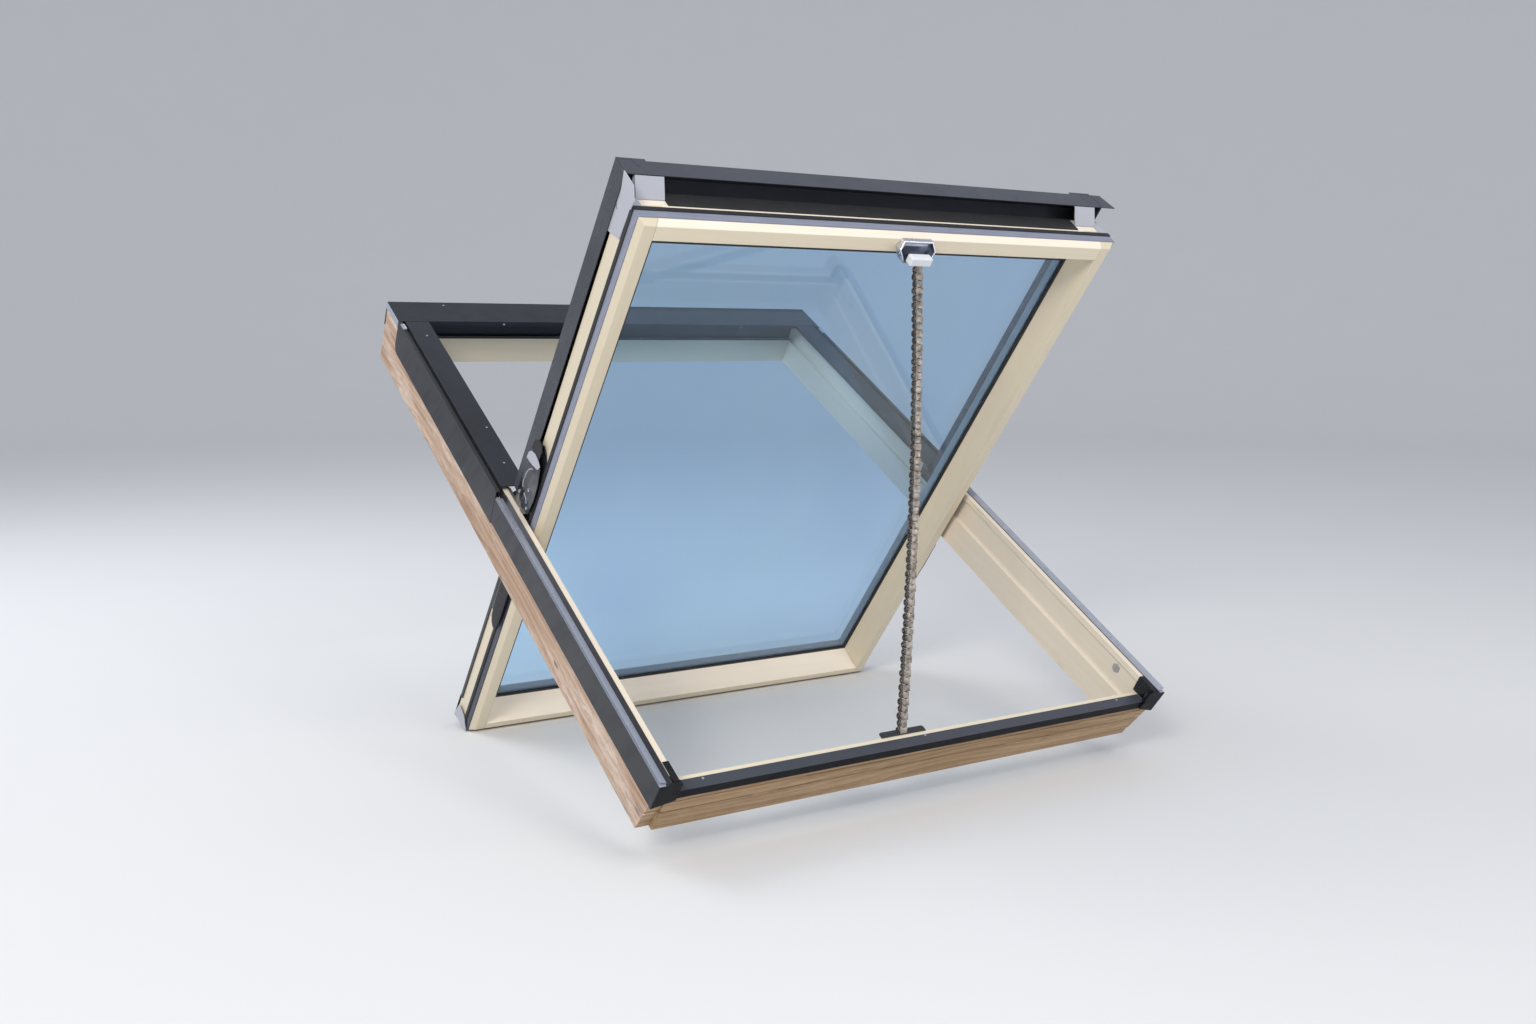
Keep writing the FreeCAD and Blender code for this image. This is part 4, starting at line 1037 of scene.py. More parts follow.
@dataclass
class FrameTimber(SubAssembly):
    """The four pine bars of the frame: bare outside, lacquered inside."""

    rounding: float = 1.1 * MM
    outer_skin: float = 465.5 * MM
    groove_side: float = 451.5 * MM
    groove_width: float = 8.5 * MM
    groove_floor: float = -3 * MM
    front_top: float = -24 * MM
    front_depth: float = 26 * MM
    underside: float = -0.7
    end_grain: float = 0.6

    def jamb(self, side: Side) -> Piece:
        """One jamb, its outer side, ends and underside bare and its groove painted black as shade.

        Args:
            side: Left or right.

        Returns:
            The jamb.
        """

        def outer(at: Vector, out: Vector) -> bool:
            """Outer side and underside."""
            return at.x * side.sign > self.outer_skin or out.z < self.underside

        def ends(at: Vector, out: Vector) -> bool:
            """Sawn ends."""
            return abs(out.y) > self.end_grain

        def groove(at: Vector, out: Vector) -> bool:
            """Groove in the top, painted black as shade."""
            inside = self.groove_side < at.x * side.sign < self.groove_side + self.groove_width
            return inside and at.z > self.groove_floor

        node = f"frame_{side.value}_jamb"
        piece = self.shaped(node, f"{side.value}_jamb_timber", self.rounding, "lacquered_pine_up_slope")
        self.wardrobe.accent(piece, "bare_pine_up_slope", Plane.ROOF, outer)
        self.wardrobe.accent(piece, "bare_pine_across", Plane.ROOF, ends)
        # Painted shade: the groove is coloured black.
        self.wardrobe.accent(piece, "black_rubber", Plane.ROOF, groove)
        return carry(piece, [node])

    def rail(self, end: End, bare: WantedAt) -> Piece:
        """One cross rail, bare where the test says.

        Args:
            end: Bottom or top.
            bare: Takes a face's centre and normal.

        Returns:
            The rail.
        """
        node = f"frame_{end.value}_rail"
        name = f"{end.value}_rail_timber"
        piece = self.shaped(node, name, self.rounding, "lacquered_pine_across")
        self.wardrobe.accent(piece, "bare_pine_across", Plane.ROOF, bare)
        return carry(piece, [node])

    def build(self) -> list[Piece]:
        """Make all four bars.

        Returns:
            The bars.
        """

        def front(at: Vector, out: Vector) -> bool:
            """Front and underside of the bottom rail, below its cladding."""
            return out.y < LEANING and at.z < self.front_top and at.y < self.front_depth

        def back(at: Vector, out: Vector) -> bool:
            """Back and underside of the top rail."""
            return out.y > LEANING or out.z < self.underside

        jambs = [self.jamb(side) for side in Side]
        return jambs + [self.rail(End.BOTTOM, front), self.rail(End.TOP, back)]


@dataclass
class SheetWork(SubAssembly):
    """Pieces of coated sheet, and the small bent ends that belong to them."""

    rounding: float = 0.45 * MM
    thin_rounding: float = 0.3 * MM
    cut_rounding: float = 0.4 * MM
    flange_from: float = 459 * MM
    front_drop: float = -0.6
    hood_end: float = 0.7
    edge_inner: float = 457.5 * MM
    edge_outer: float = 469.6 * MM
    edge_start: float = 1 * MM
    edge_end: float = 637 * MM
    edge_low: float = 0.3 * MM
    edge_rise: float = 4.5 * MM
    edge_sheet: float = 0.9 * MM
    apron_front: float = -625 * MM
    apron_sheet: float = 1.5 * MM
    apron_top: float = 13.5 * MM
    apron_return: float = 14 * MM
    leg_level: float = 440 * MM
    leg_sheet: float = 1.5 * MM
    outlet_corner: float = 4 * MM
    outlet_rim: float = 2.5 * MM
    outlet_slope: float = 0.6 * MM
    outlet_depth: float = 0.8 * MM
    hook_rim: float = 1.6 * MM
    hook_depth: float = 1.2 * MM
    hook_rounding: float = 0.5 * MM

    FRAME_SHEETS = (
        "left_side_cladding",
        "right_side_cladding",
        "left_upper_side_cladding",
        "right_upper_side_cladding",
        "left_upper_cover",
        "right_upper_cover",
        "top_hood",
        "top_inner_flashing",
        "bottom_rail_cladding",
    )
    SASH_SIDE_COVERS = ("sash_left_cover", "sash_right_cover")
    SASH_SHEETS = (
        "sash_bottom_cover",
        "sash_top_trim",
        "left_sash_upper_trim",
        "right_sash_upper_trim",
    )
    APRON_END = ((440, -20.5), (469.3, -20.5), (461, 13.5), (440, 13.5))
    CORNER_LEG = ((-598, -30), (-629, -20), (-629, -55), (-613, -69), (-598, -66))
    OUTLET_LOW = (-84 * MM, 27.5 * MM, -21.4 * MM)
    OUTLET_HIGH = (-2 * MM, 38 * MM, -19.6 * MM)
    HOOK_LOW = (463 * MM, 1156 * MM, 11.5 * MM)
    HOOK_HIGH = (469.8 * MM, 1174 * MM, 15.5 * MM)

    def sheet(self, node: str, finish: str, slot: str) -> Piece:
        """One folded sheet, with painted highlight, painted light and painted shade on the faces that
        catch or lose the light.

        Args:
            node: The solid's name.
            finish: The finish of most of it.
            slot: Its material slot in the part; not used.

        Returns:
            The sheet.
        """
        piece = self.shaped(node, node + "_sheet", self.rounding, finish)
        side_sheets = ("left_side_cladding", "right_side_cladding")
        bottom = node == "bottom_rail_cladding"

        def flange(at: Vector, out: Vector) -> bool:
            """Flat flange along the outer side, which gets a painted highlight."""
            return out.z > SQUARE_ON and abs(at.x) > self.flange_from

        def front(at: Vector, out: Vector) -> bool:
            """Drop at the front, which gets painted shade."""
            return out.y < self.front_drop and (out.z < LEANING or not bottom)

        def top(at: Vector, out: Vector) -> bool:
            """Upper side, which gets painted light."""
            return out.z > LEANING

        def lower_side(at: Vector, out: Vector) -> bool:
            """Side that looks down the sash, which gets painted light."""
            return out.y < -LEANING

        def hood_ends(at: Vector, out: Vector) -> bool:
            """Ends of the hood, left and right, which get a painted highlight."""
            return abs(out.x) > self.hood_end

        # Painted highlight on the flanges.
        if node in side_sheets:
            self.wardrobe.accent(piece, "painted_highlight_sheet", Plane.ROOF, flange)
        # Painted shade on the front drops.
        if bottom or node in side_sheets or node.endswith("end_cap"):
            self.wardrobe.accent(piece, "painted_shade_sheet", Plane.ROOF, front)
        # Painted light on the top of the bottom cladding.
        if bottom:
            self.wardrobe.accent(piece, "apron_sheet", Plane.ROOF, top)
        # Painted light on the apron.
        if node == "sash_bottom_cover":
            self.wardrobe.accent(piece, "apron_sheet", Plane.SASH, lower_side)
        # Painted highlight on the hood's ends.
        if node == "top_hood":
            self.wardrobe.accent(piece, "painted_highlight_sheet", Plane.ROOF, hood_ends)
        return carry(piece, [node])

    def gutter_edge(self, side: Side) -> Piece:
        """Raised edge along the lower side cladding, with a painted highlight.

        Args:
            side: Left or right.

        Returns:
            The edge.
        """
        near, far = sorted((side.sign * self.edge_inner, side.sign * self.edge_outer))
        low = (near, self.edge_start, self.edge_low)
        high = (far, self.edge_end, self.edge_low + self.edge_sheet)
        middle = (self.edge_inner + self.edge_outer) / 2
        piece = block(f"{side.value}_gutter_edge", low, high)
        with editing(piece, Kind.CORNERS) as mesh:
            choose(mesh, Kind.CORNERS, lambda corner: abs(corner.co.x) > middle)
            bpy.ops.transform.translate(value=(0, 0, self.edge_rise))
        finish_edges(piece, self.thin_rounding)
        return self.place(piece, "painted_highlight_sheet", Plane.ROOF, "dark_cladding")

    def apron_end(self) -> Piece:
        """Overhanging right end of the apron, cut on a slant and folded back at the top, with painted
        light.

        Returns:
            The end.
        """

        def top_fold(face: bmesh.types.BMFace) -> bool:
            """Face of the fold that looks up the sash."""
            return face.normal.y > SQUARE_ON and face.calc_center_median().z > self.apron_top

        piece = panel("apron_right_end", self.APRON_END, Axis.Y, self.apron_front, self.apron_sheet)
        folds = (
            (facing(Axis.Z, 1), (0, 0, self.apron_sheet)),
            (top_fold, (0, self.apron_return, 0)),
        )
        for wanted, push in folds:
            with editing(piece) as mesh:
                choose(mesh, Kind.FACES, wanted)
                bpy.ops.mesh.extrude_region_move(TRANSFORM_OT_translate={"value": push})
        finish_edges(piece, self.cut_rounding)
        return self.place(piece, "apron_sheet", Plane.SASH, "dark_cladding")

    def corner_leg(self, side: Side) -> Piece:
        """Side leg of the corner bracket, between the sash and the end of the apron.

        Args:
            side: Left or right.

        Returns:
            The leg.
        """
        level, sheet = side.sign * self.leg_level, side.sign * self.leg_sheet
        piece = panel(f"{side.value}_corner_leg", self.CORNER_LEG, Axis.X, level, sheet)
        finish_edges(piece, self.cut_rounding)
        return self.place(piece, "pale_coated_sheet", Plane.SASH, "pale_bracket")

    def outlet_plate(self) -> Piece:
        """Narrow dark plate that the chain comes out of, with a sunk field.

        Returns:
            The plate.
        """
        back = self.OUTLET_HIGH[Axis.Y.value]

        def back_corner(edge: bmesh.types.BMEdge) -> bool:
            """Upright edge at a back corner.

            Args:
                edge: An edge of the plate.

            Returns:
                Whether it is one.
            """
            first, last = (corner.co for corner in edge.verts)
            at_back = abs(first.y - back) < TOUCHING and abs(last.y - back) < TOUCHING
            return at_back and abs(first.x - last.x) < TOUCHING

        piece = block("chain_outlet_plate_body", self.OUTLET_LOW, self.OUTLET_HIGH)
        with editing(piece, Kind.EDGES) as mesh:
            choose(mesh, Kind.EDGES, back_corner)
            bpy.ops.mesh.bevel(offset=self.outlet_corner, offset_type="OFFSET", segments=4, affect="EDGES")
        rim, field_step = (self.outlet_rim, 0), (self.outlet_slope, -self.outlet_depth)
        press(piece, facing(Axis.Z, 1), rim, field_step)
        finish_edges(piece, self.thin_rounding)
        nodes = ["chain_outlet_plate"]
        return self.place(piece, "deep_coated_sheet", Plane.ROOF, "dark_cladding", nodes)

    def hood_hook(self, side: Side) -> Piece:
        """Small bent tongue under the front corner of the hood, with a painted highlight.

        Args:
            side: Left or right.

        Returns:
            The tongue.
        """
        near, far = sorted(side.sign * corner[0] for corner in (self.HOOK_LOW, self.HOOK_HIGH))
        low, high = (near, *self.HOOK_LOW[1:]), (far, *self.HOOK_HIGH[1:])
        piece = block(f"{side.value}_hood_hook", low, high)
        press(piece, facing(Axis.Z, 1), (self.hook_rim, -self.hook_depth))
        finish_edges(piece, self.hook_rounding)
        return self.place(piece, "painted_highlight_sheet", Plane.ROOF, "dark_cladding")

    def build(self) -> list[Piece]:
        """Make every coated sheet of the frame and of the sash.

        Returns:
            The sheets.
        """
        made = [self.sheet(node, "coated_sheet", "dark_cladding") for node in self.FRAME_SHEETS]
        # Painted light on the sash side covers.
        made += [self.sheet(node, "painted_lit_side_sheet", "dark_cladding") for node in self.SASH_SIDE_COVERS]
        made += [self.sheet(node, "coated_sheet", "dark_cladding") for node in self.SASH_SHEETS]
        for side in Side:
            made.append(self.sheet(f"{side.value}_end_cap", "cap_plastic", "dark_cladding"))
            for bracket in ("corner_bracket", "top_corner_bracket"):
                made.append(self.sheet(f"{side.value}_{bracket}", "pale_coated_sheet", "pale_bracket"))
        made += [self.gutter_edge(side) for side in Side]
        made += [self.hood_hook(side) for side in Side]
        return made + [self.corner_leg(Side.LEFT), self.apron_end(), self.outlet_plate()]


@dataclass
class SashTimber(SubAssembly):
    """The lacquered pine sash; the last three fields limit the normals of the faces that get a painted
    highlight.
    """

    rounding: float = 0.9 * MM
    lit_across: float = 0.1
    lit_down: float = -0.15
    lit_outward: float = 0.95

    def stile(self, side: Side) -> Piece:
        """One upright bar.

        Args:
            side: Left or right.

        Returns:
            The bar.
        """
        node = f"sash_{side.value}_stile"
        piece = self.shaped(node, node + "_timber", self.rounding, "lacquered_pine_along_sash")
        return carry(piece, [node])

    def rail(self, end: End) -> Piece:
        """One cross bar, let into the stiles' rounding so that the joints are flush, with a painted
        highlight on the faces that look down the sash.

        Args:
            end: Bottom or top.

        Returns:
            The bar.
        """

        def lit(at: Vector, out: Vector) -> bool:
            """Faces that look down the sash, its rounding among them, which get a painted highlight."""
            level = abs(out.x) < self.lit_across
            return level and out.y < self.lit_down and out.z < self.lit_outward

        node = f"sash_{end.value}_rail"
        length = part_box(node)[1][0]
        piece = solid_copy(node, node + "_timber")
        with editing(piece, Kind.CORNERS) as mesh:
            for side in Side:
                reach = length - self.rounding
                choose(mesh, Kind.CORNERS, lambda corner: corner.co.x * side.sign > reach)
                bpy.ops.transform.translate(value=(side.sign * self.rounding, 0, 0))
        finish_edges(piece, self.rounding, plain_end=length)
        self.wardrobe.dress(piece, "lacquered_pine_across")
        # Painted highlight on the faces that look down the sash.
        self.wardrobe.accent(piece, "painted_highlight_pine", Plane.SASH, lit)
        return carry(piece, [node])

    def build(self) -> list[Piece]:
        """Both stiles and both rails."""
        return [self.stile(side) for side in Side] + [self.rail(end) for end in End]


@dataclass
class Glazing(SubAssembly):
    """Panes, spacer, gaskets and a black strip under the bottom cover, which keep their solids, and the
    seal round the sash.
    """

    seal_change: float = 20 * MM

    FINISHES = {
        "inner_glass_pane": "painted_sky_glass",
        "outer_glass_pane": "painted_sky_glass",
        "glass_spacer": "spacer_film",
        "glazing_gasket": "black_rubber",
        "sash_weather_seal": "black_rubber",
        "sash_bottom_foam": "black_rubber",
        "frame_top_seal": "black_rubber",
    }

    def seal(self) -> Piece:
        """Seal strip round the sash, with painted shade beyond the pivot.

        Returns:
            The strip.
        """
        piece = solid_copy("sash_seal_strip", "sash_seal_strip_body")
        cut_across(piece, self.seal_change, keep_beyond=True)
        self.wardrobe.dress(piece, "pale_seal")
        beyond = self.seal_change
        # Painted shade on the seal beyond the pivot.
        self.wardrobe.accent(piece, "painted_shade_seal", Plane.SASH, lambda at, out: at.y > beyond)
        return carry(piece, ["sash_seal_strip"])

    def build(self) -> list[Piece]:
        """Dress each solid and make the seal.

        Returns:
            The pieces.
        """
        for node, finish in self.FINISHES.items():
            self.wardrobe.dress(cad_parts[node], finish)
        return [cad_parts[node] for node in self.FINISHES] + [self.seal()]


@dataclass(frozen=True)
class HingePlate:
    """A thin shaped plate on a hinge: its outline along and out of the sash, in mm."""

    name: str
    outline: Outline
    stand_off: float
    finish: str


@dataclass(frozen=True)
class HingeRib:
    """A curved rib of a hinge: its middle and radius in mm, and where it starts in degrees."""

    y: float
    z: float
    radius: float
    start: float


@dataclass
class Hinges(SubAssembly):
    """Hinge plates and arms on both sides, with shroud, leaf, nose, ribs and screws."""

    rounding: float = 0.6 * MM
    face: float = 442.0 * MM
    sheet: float = 1.4 * MM
    arm_end: float = 222 * MM
    plate_rim: float = 2.2 * MM
    plate_slope: float = 2.4 * MM
    plate_rise: float = 0.7 * MM
    plate_rounding: float = 0.5 * MM
    rib_rise: float = 0.4 * MM
    rib_wire: float = 1.2 * MM
    rib_sweep: float = 110.0
    screw_radius: float = 3.0 * MM
    screw_rise: float = 0.9 * MM

    SHROUD = (
        (-112, -8), (-60, -5.5), (-14, -7), (-8, -30), (-14, -47),
        (-28, -60), (-62, -64), (-88, -62), (-118, -54),
    )
    NOSE = ((-126, -12), (-145, -15), (-152, -24), (-155, -33), (-152, -41), (-145, -46), (-128, -44))
    LEAF = (
        (-99.6, -6.3), (-113, -8), (-120, -14), (-126, -27),
        (-126, -42), (-121.6, -54), (-111.8, -49.3), (-104, -28),
    )
    FINGER = (
        (120, -44), (190, -46), (222, -49), (233, -56), (237, -65),
        (233, -73), (216, -78), (176, -79), (120, -78),
    )
    PLATES = (
        HingePlate("shroud", SHROUD, 0, "film_black"),
        HingePlate("nose", NOSE, 1.2 * MM, "black_rubber"),
        HingePlate("leaf", LEAF, 1.6 * MM, "pale_coated_sheet"),
        HingePlate("finger", FINGER, 0.2 * MM, "black_rubber"),
    )
    RIBS = (HingeRib(-72, -52, 33, 60), HingeRib(-30, -34, 15, 150), HingeRib(-60, -30, 12, 20))
    SCREWS = ((-62.7, -42.7), (-35.7, -16.6), (-32, -52.6), (-14, -36))

    def base(self, side: Side) -> Piece:
        """Hinge plate on the frame.

        Args:
            side: Left or right.

        Returns:
            The plate.
        """
        node = f"{side.value}_hinge_plate"
        piece = self.shaped(node, node + "_steel", self.rounding, "dark_hinge_sheet")
        return carry(piece, [node])

    def arm(self, side: Side) -> Piece:
        """Hinge arm along the stile, as far as its rounded finger.

        Args:
            side: Left or right.

        Returns:
            The arm.
        """
        node = f"{side.value}_hinge_arm"
        piece = self.shaped(node, node + "_steel", self.rounding, "cap_plastic")
        cut_across(piece, self.arm_end, keep_beyond=False)
        return carry(piece, [node])

    def plate(self, side: Side, kind: HingePlate) -> Piece:
        """One thin shaped plate on the outer side of the hinge, its middle pressed out.

        Args:
            side: Left or right.
            kind: Which plate.

        Returns:
            The plate.
        """
        level = side.sign * (self.face + kind.stand_off)
        name = f"{side.value}_hinge_{kind.name}"
        piece = panel(name, kind.outline, Axis.X, level, side.sign * self.sheet)
        rim, field_step = (self.plate_rim, 0), (self.plate_slope, self.plate_rise)
        press(piece, facing(Axis.X, side.sign), rim, field_step)
        finish_edges(piece, self.plate_rounding)
        return self.place(piece, kind.finish, Plane.SASH, "hinge_steel")

    def rib(self, side: Side, kind: HingeRib) -> Piece:
        """One curved rib, cut from a ring.

        Args:
            side: Left or right.
            kind: Which rib.

        Returns:
            The rib.
        """
        level = side.sign * (self.face + self.sheet + self.rib_rise)
        centre = (level, kind.y * MM, kind.z * MM)
        piece = ring("rib", centre, kind.radius * MM, self.rib_wire, 40, 8)
        with editing(piece):
            for turn in (math.radians(kind.start), math.radians(kind.start + self.rib_sweep)):
                away = (0, math.cos(turn), math.sin(turn))
                bpy.ops.mesh.select_all(action="SELECT")
                bpy.ops.mesh.bisect(plane_co=centre, plane_no=away, use_fill=True, clear_inner=True)
        return piece

    def ribs(self, side: Side) -> Piece:
        """Curved ribs pressed in the shroud, with a painted highlight.

        Args:
            side: Left or right.

        Returns:
            The ribs, joined.
        """
        piece = join([self.rib(side, kind) for kind in self.RIBS], f"{side.value}_hinge_ribs")
        take(piece)
        bpy.ops.object.shade_smooth_by_angle(angle=SMOOTH_BELOW)
        return self.place(piece, "painted_highlight_sheet", Plane.SASH, "hinge_steel")

    def screws(self, side: Side) -> Piece:
        """Screw heads that hold the hinge to the stile.

        Args:
            side: Left or right.

        Returns:
            The heads, joined.
        """
        level = side.sign * (self.face + self.sheet + self.screw_rise)
        places = [(level, y * MM, z * MM) for y, z in self.SCREWS]
        heads = [screw("screw", place, self.screw_radius, ALONG_X) for place in places]
        piece = join(heads, f"{side.value}_hinge_screws")
        return self.place(piece, "bright_steel", Plane.SASH, "bright_metal")

    def build(self) -> list[Piece]:
        """Make both hinges.

        Returns:
            Their pieces.
        """
        made = []
        for side in Side:
            made += [self.base(side), self.arm(side)]
            made += [self.plate(side, kind) for kind in self.PLATES]
            made += [self.ribs(side), self.screws(side)]
        return made


@dataclass
class ChainOpener(SubAssembly):
    """Push chain of pressed links, with its stirrup and end block on the sash."""

    foot: Point = (-42.5 * MM, 36.01 * MM, -20.5 * MM)
    head: Point = (27 * MM, -561.8 * MM, -115 * MM)
    pitch: float = 10.5 * MM
    width: float = 13 * MM
    height: float = 12.5 * MM
    plate: float = 1.4 * MM
    bulge: float = 8.5 * MM
    end_gap: float = 7 * MM
    link_rounding: float = 0.25 * MM
    inner_width: float = 0.84
    inner_height: float = 0.93
    eye_radius: float = 5.5 * MM
    eye_wall: float = 2.31 * MM
    pin_radius: float = 1.65 * MM
    curl_radius: float = 4.4 * MM
    curl_wire: float = 0.7 * MM
    half_length: float = 4.8825 * MM
    pin_depth: float = 0.98 * MM
    web_depth: float = 5.25 * MM
    face_rim: float = 1.1 * MM
    face_slope: float = 0.6 * MM
    face_rise: float = 0.35 * MM
    web_rim: float = 0.8 * MM
    web_sink: float = 0.3 * MM
    back_level: float = -93.4 * MM
    back_sheet: float = 1.2 * MM
    back_rim: float = 4 * MM
    back_slope: float = 3 * MM
    back_rise: float = 2 * MM
    pin_level: float = -100 * MM
    stirrup_pin: float = 3.2 * MM
    stirrup_rounding: float = 0.7 * MM
    back_rounding: float = 0.5 * MM
    block_rounding: float = 2.4 * MM
    block_top_shift: float = -3.5 * MM
    block_foot_shift: float = -2 * MM

    STIRRUP_MIDDLE = Vector((26, -577, 0)) * MM
    BACK = ((0.5, -590.5), (51.5, -590.5), (57.5, -579.3), (45.5, -561.5), (6.5, -561.5), (-5.5, -579.3))
    PINS = ((-3.4, -570.4, 238), (55.4, -570.4, 122))

    def cheek(self, side: Side) -> list[Piece]:
        """One side of a link: an eyed plate, the head of its pin and the curl round the eye.

        Args:
            side: Left or right.

        Returns:
            Its three parts.
        """
        eye = -self.height / 2 + self.eye_radius
        inner = (side.sign * (self.width / 2 - self.plate / 2), 0, eye)
        outer = (inner[0] + side.sign * self.plate / 2, 0, eye)
        cheek = disc("cheek", inner, self.eye_radius, self.plate, ALONG_X, 20)
        with editing(cheek) as mesh:
            choose(mesh, Kind.FACES, lambda face: abs(face.normal.x) > SQUARE_ON)
            bpy.ops.mesh.inset(thickness=self.eye_wall, depth=0)
            bpy.ops.mesh.bridge_edge_loops()
        pin = disc("pin_head", outer, self.pin_radius, self.pin_depth, ALONG_X, 10)
        curl = ring("curl", outer, self.curl_radius, self.curl_wire, 14, 10)
        self.wardrobe.dress(cheek, "chain_shadow")
        self.wardrobe.dress(pin, "chain_steel")
        self.wardrobe.dress(curl, "chain_steel")
        return [cheek, pin, curl]

    def link(self) -> Piece:
        """One link: two eyed cheeks, a roller between them, a front plate and an inner web.

        Returns:
            The link, at the origin.
        """
        half, top, length = self.width / 2, self.height / 2, self.half_length
        eye = -top + self.eye_radius
        parts = self.cheek(Side.LEFT) + self.cheek(Side.RIGHT)
        roller = disc("roller", (0, 0, eye), self.eye_wall, self.width - self.plate, ALONG_X, 10)
        face = block("face", (-half, -length, top - self.plate), (half, length, top))
        press(face, facing(Axis.Z, 1), (self.face_rim, 0), (self.face_slope, self.face_rise))
        low = (-half + self.plate, -length, -self.web_depth)
        web = block("web", low, (low[0] + self.plate, length, top - self.plate))
        press(web, facing(Axis.X, -1), (self.web_rim, -self.web_sink))
        self.wardrobe.dress(face, "chain_steel")
        self.wardrobe.dress(roller, "chain_shadow")
        self.wardrobe.dress(web, "chain_shadow")
        return join(parts + [face, roller, web], "link")

    def chain(self) -> Piece:
        """Every link in place from the foot to the head, each second one narrower.

        Returns:
            The chain, joined.
        """
        pattern = self.link()
        finish_edges(pattern, self.link_rounding, 1, 40)
        start = STAND.matrix(Plane.ROOF) @ Vector(self.foot)
        run = STAND.matrix(Plane.SASH) @ Vector(self.head) - start
        run = run * (1 - self.end_gap / run.length)
        along = run.normalized()
        side = (Vector((1, 0, 0)) - along * along.x).normalized()
        turn = Matrix((side, along, side.cross(along))).transposed().to_4x4()
        narrow = Matrix.Diagonal((self.inner_width, 1, self.inner_height, 1))
        count = int(run.length / self.pitch)
        links = []
        for index in range(count + 1):
            share = index / count
            at = start + run * share + side * (self.bulge * math.sin(math.pi * share))
            squeeze = narrow if index % 2 else Matrix()
            one = twin(pattern, f"link_{index}")
            one.data.transform(Matrix.Translation(at) @ turn @ squeeze)
            links.append(one)
        bpy.data.objects.remove(pattern)
        return carry(join(links, "push_chain_links"), ["push_chain"])

    def stirrup(self) -> Piece:
        """Bright stirrup that holds the end block, with painted shade on its inner walls.

        Returns:
            The stirrup.
        """

        def inside(at: Vector, out: Vector) -> bool:
            """Wall that looks towards the stirrup's middle, which gets painted shade."""
            inward = (Vector((at.x, at.y, 0)) - self.STIRRUP_MIDDLE).dot(out) < 0
            return abs(out.z) < LEANING and inward

        piece = self.shaped("chain_bracket", "chain_bracket_ring", self.stirrup_rounding, "bright_steel")
        # Painted shade on the inner walls.
        self.wardrobe.accent(piece, "dark_steel_and_painted_shade", Plane.SASH, inside)
        return carry(piece, ["chain_bracket"])

    def stirrup_back(self) -> Piece:
        """Dark plate behind the stirrup, its middle pressed out.

        Returns:
            The plate.
        """
        piece = panel("chain_bracket_back", self.BACK, Axis.Z, self.back_level, -self.back_sheet)
        press(piece, facing(Axis.Z, -1), (self.back_rim, 0), (self.back_slope, self.back_rise))
        finish_edges(piece, self.back_rounding)
        return self.place(piece, "dark_steel_and_painted_shade", Plane.SASH, "bright_metal")

    def stirrup_pins(self) -> Piece:
        """Pins at both sides of the stirrup.

        Returns:
            The pins, joined.
        """
        pins = []
        for x, y, heading in self.PINS:
            turn = (QUARTER_TURN, 0, math.radians(heading))
            pins.append(screw("pin", (x * MM, y * MM, self.pin_level), self.stirrup_pin, turn))
        return self.place(join(pins, "chain_bracket_pins"), "dark_steel_and_painted_shade", Plane.SASH, "bright_metal")

    def end_block(self) -> Piece:
        """Pale block at the chain's end, moved down the sash and well rounded.

        Returns:
            The block.
        """
        place = STAND.matrix(Plane.SASH)
        back, turn = place.inverted(), place.to_3x3()
        middle = sum((back @ Vector(corner)).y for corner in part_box("chain_end_block")) / 2
        piece = solid_copy("chain_end_block", "chain_end_block_body")
        with editing(piece, Kind.CORNERS) as mesh:
            for lower, shift in ((True, self.block_top_shift), (False, self.block_foot_shift)):
                choose(mesh, Kind.CORNERS, lambda corner: ((back @ corner.co).y < middle) == lower)
                bpy.ops.transform.translate(value=turn @ Vector((0, shift, 0)))
        finish_edges(piece, self.block_rounding, 4)
        self.wardrobe.dress(piece, "pale_plastic")
        return carry(piece, ["chain_end_block"])

    def build(self) -> list[Piece]:
        """Chain, stirrup and block."""
        return [self.chain(), self.stirrup(), self.stirrup_back(), self.stirrup_pins(), self.end_block()]


@dataclass
class Catches(SubAssembly):
    """Grey catch discs in the jambs; the shares are of a disc's radius or depth."""

    rounding: float = 0.5 * MM
    corners: int = 6
    rim_share: float = 0.16
    slope_share: float = 0.08
    sink_share: float = 0.25
    cross_share: float = 0.78
    bar_share: float = 0.16

    def catch(self, side: Side) -> Piece:
        """One disc: six-sided, with a raised cross in a sunk face.

        Args:
            side: Left or right.

        Returns:
            The disc.
        """
        node = f"{side.value}_lock_disc"
        low, high = (Vector(corner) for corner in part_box(node))
        centre = (low + high) / 2
        radius = (high.y - low.y + high.z - low.z) / 4
        depth = high.x - low.x
        body = disc(node + "_body", centre, radius, depth, ALONG_X, self.corners)
        rim = (radius * self.rim_share, 0)
        sink = (radius * self.slope_share, -depth * self.sink_share)
        press(body, facing(Axis.X, -side.sign), rim, sink)
        long, short = radius * self.cross_share, radius * self.bar_share
        reaches = [Vector((depth / 2, long, short)), Vector((depth / 2, short, long))]
        bars = [block("bar", centre - reach, centre + reach) for reach in reaches]
        piece = join([body] + bars, node + "_body")
        finish_edges(piece, self.rounding)
        self.wardrobe.dress(piece, "worn_plastic")
        return carry(piece, [node])

    def build(self) -> list[Piece]:
        """Both discs."""
        return [self.catch(side) for side in Side]


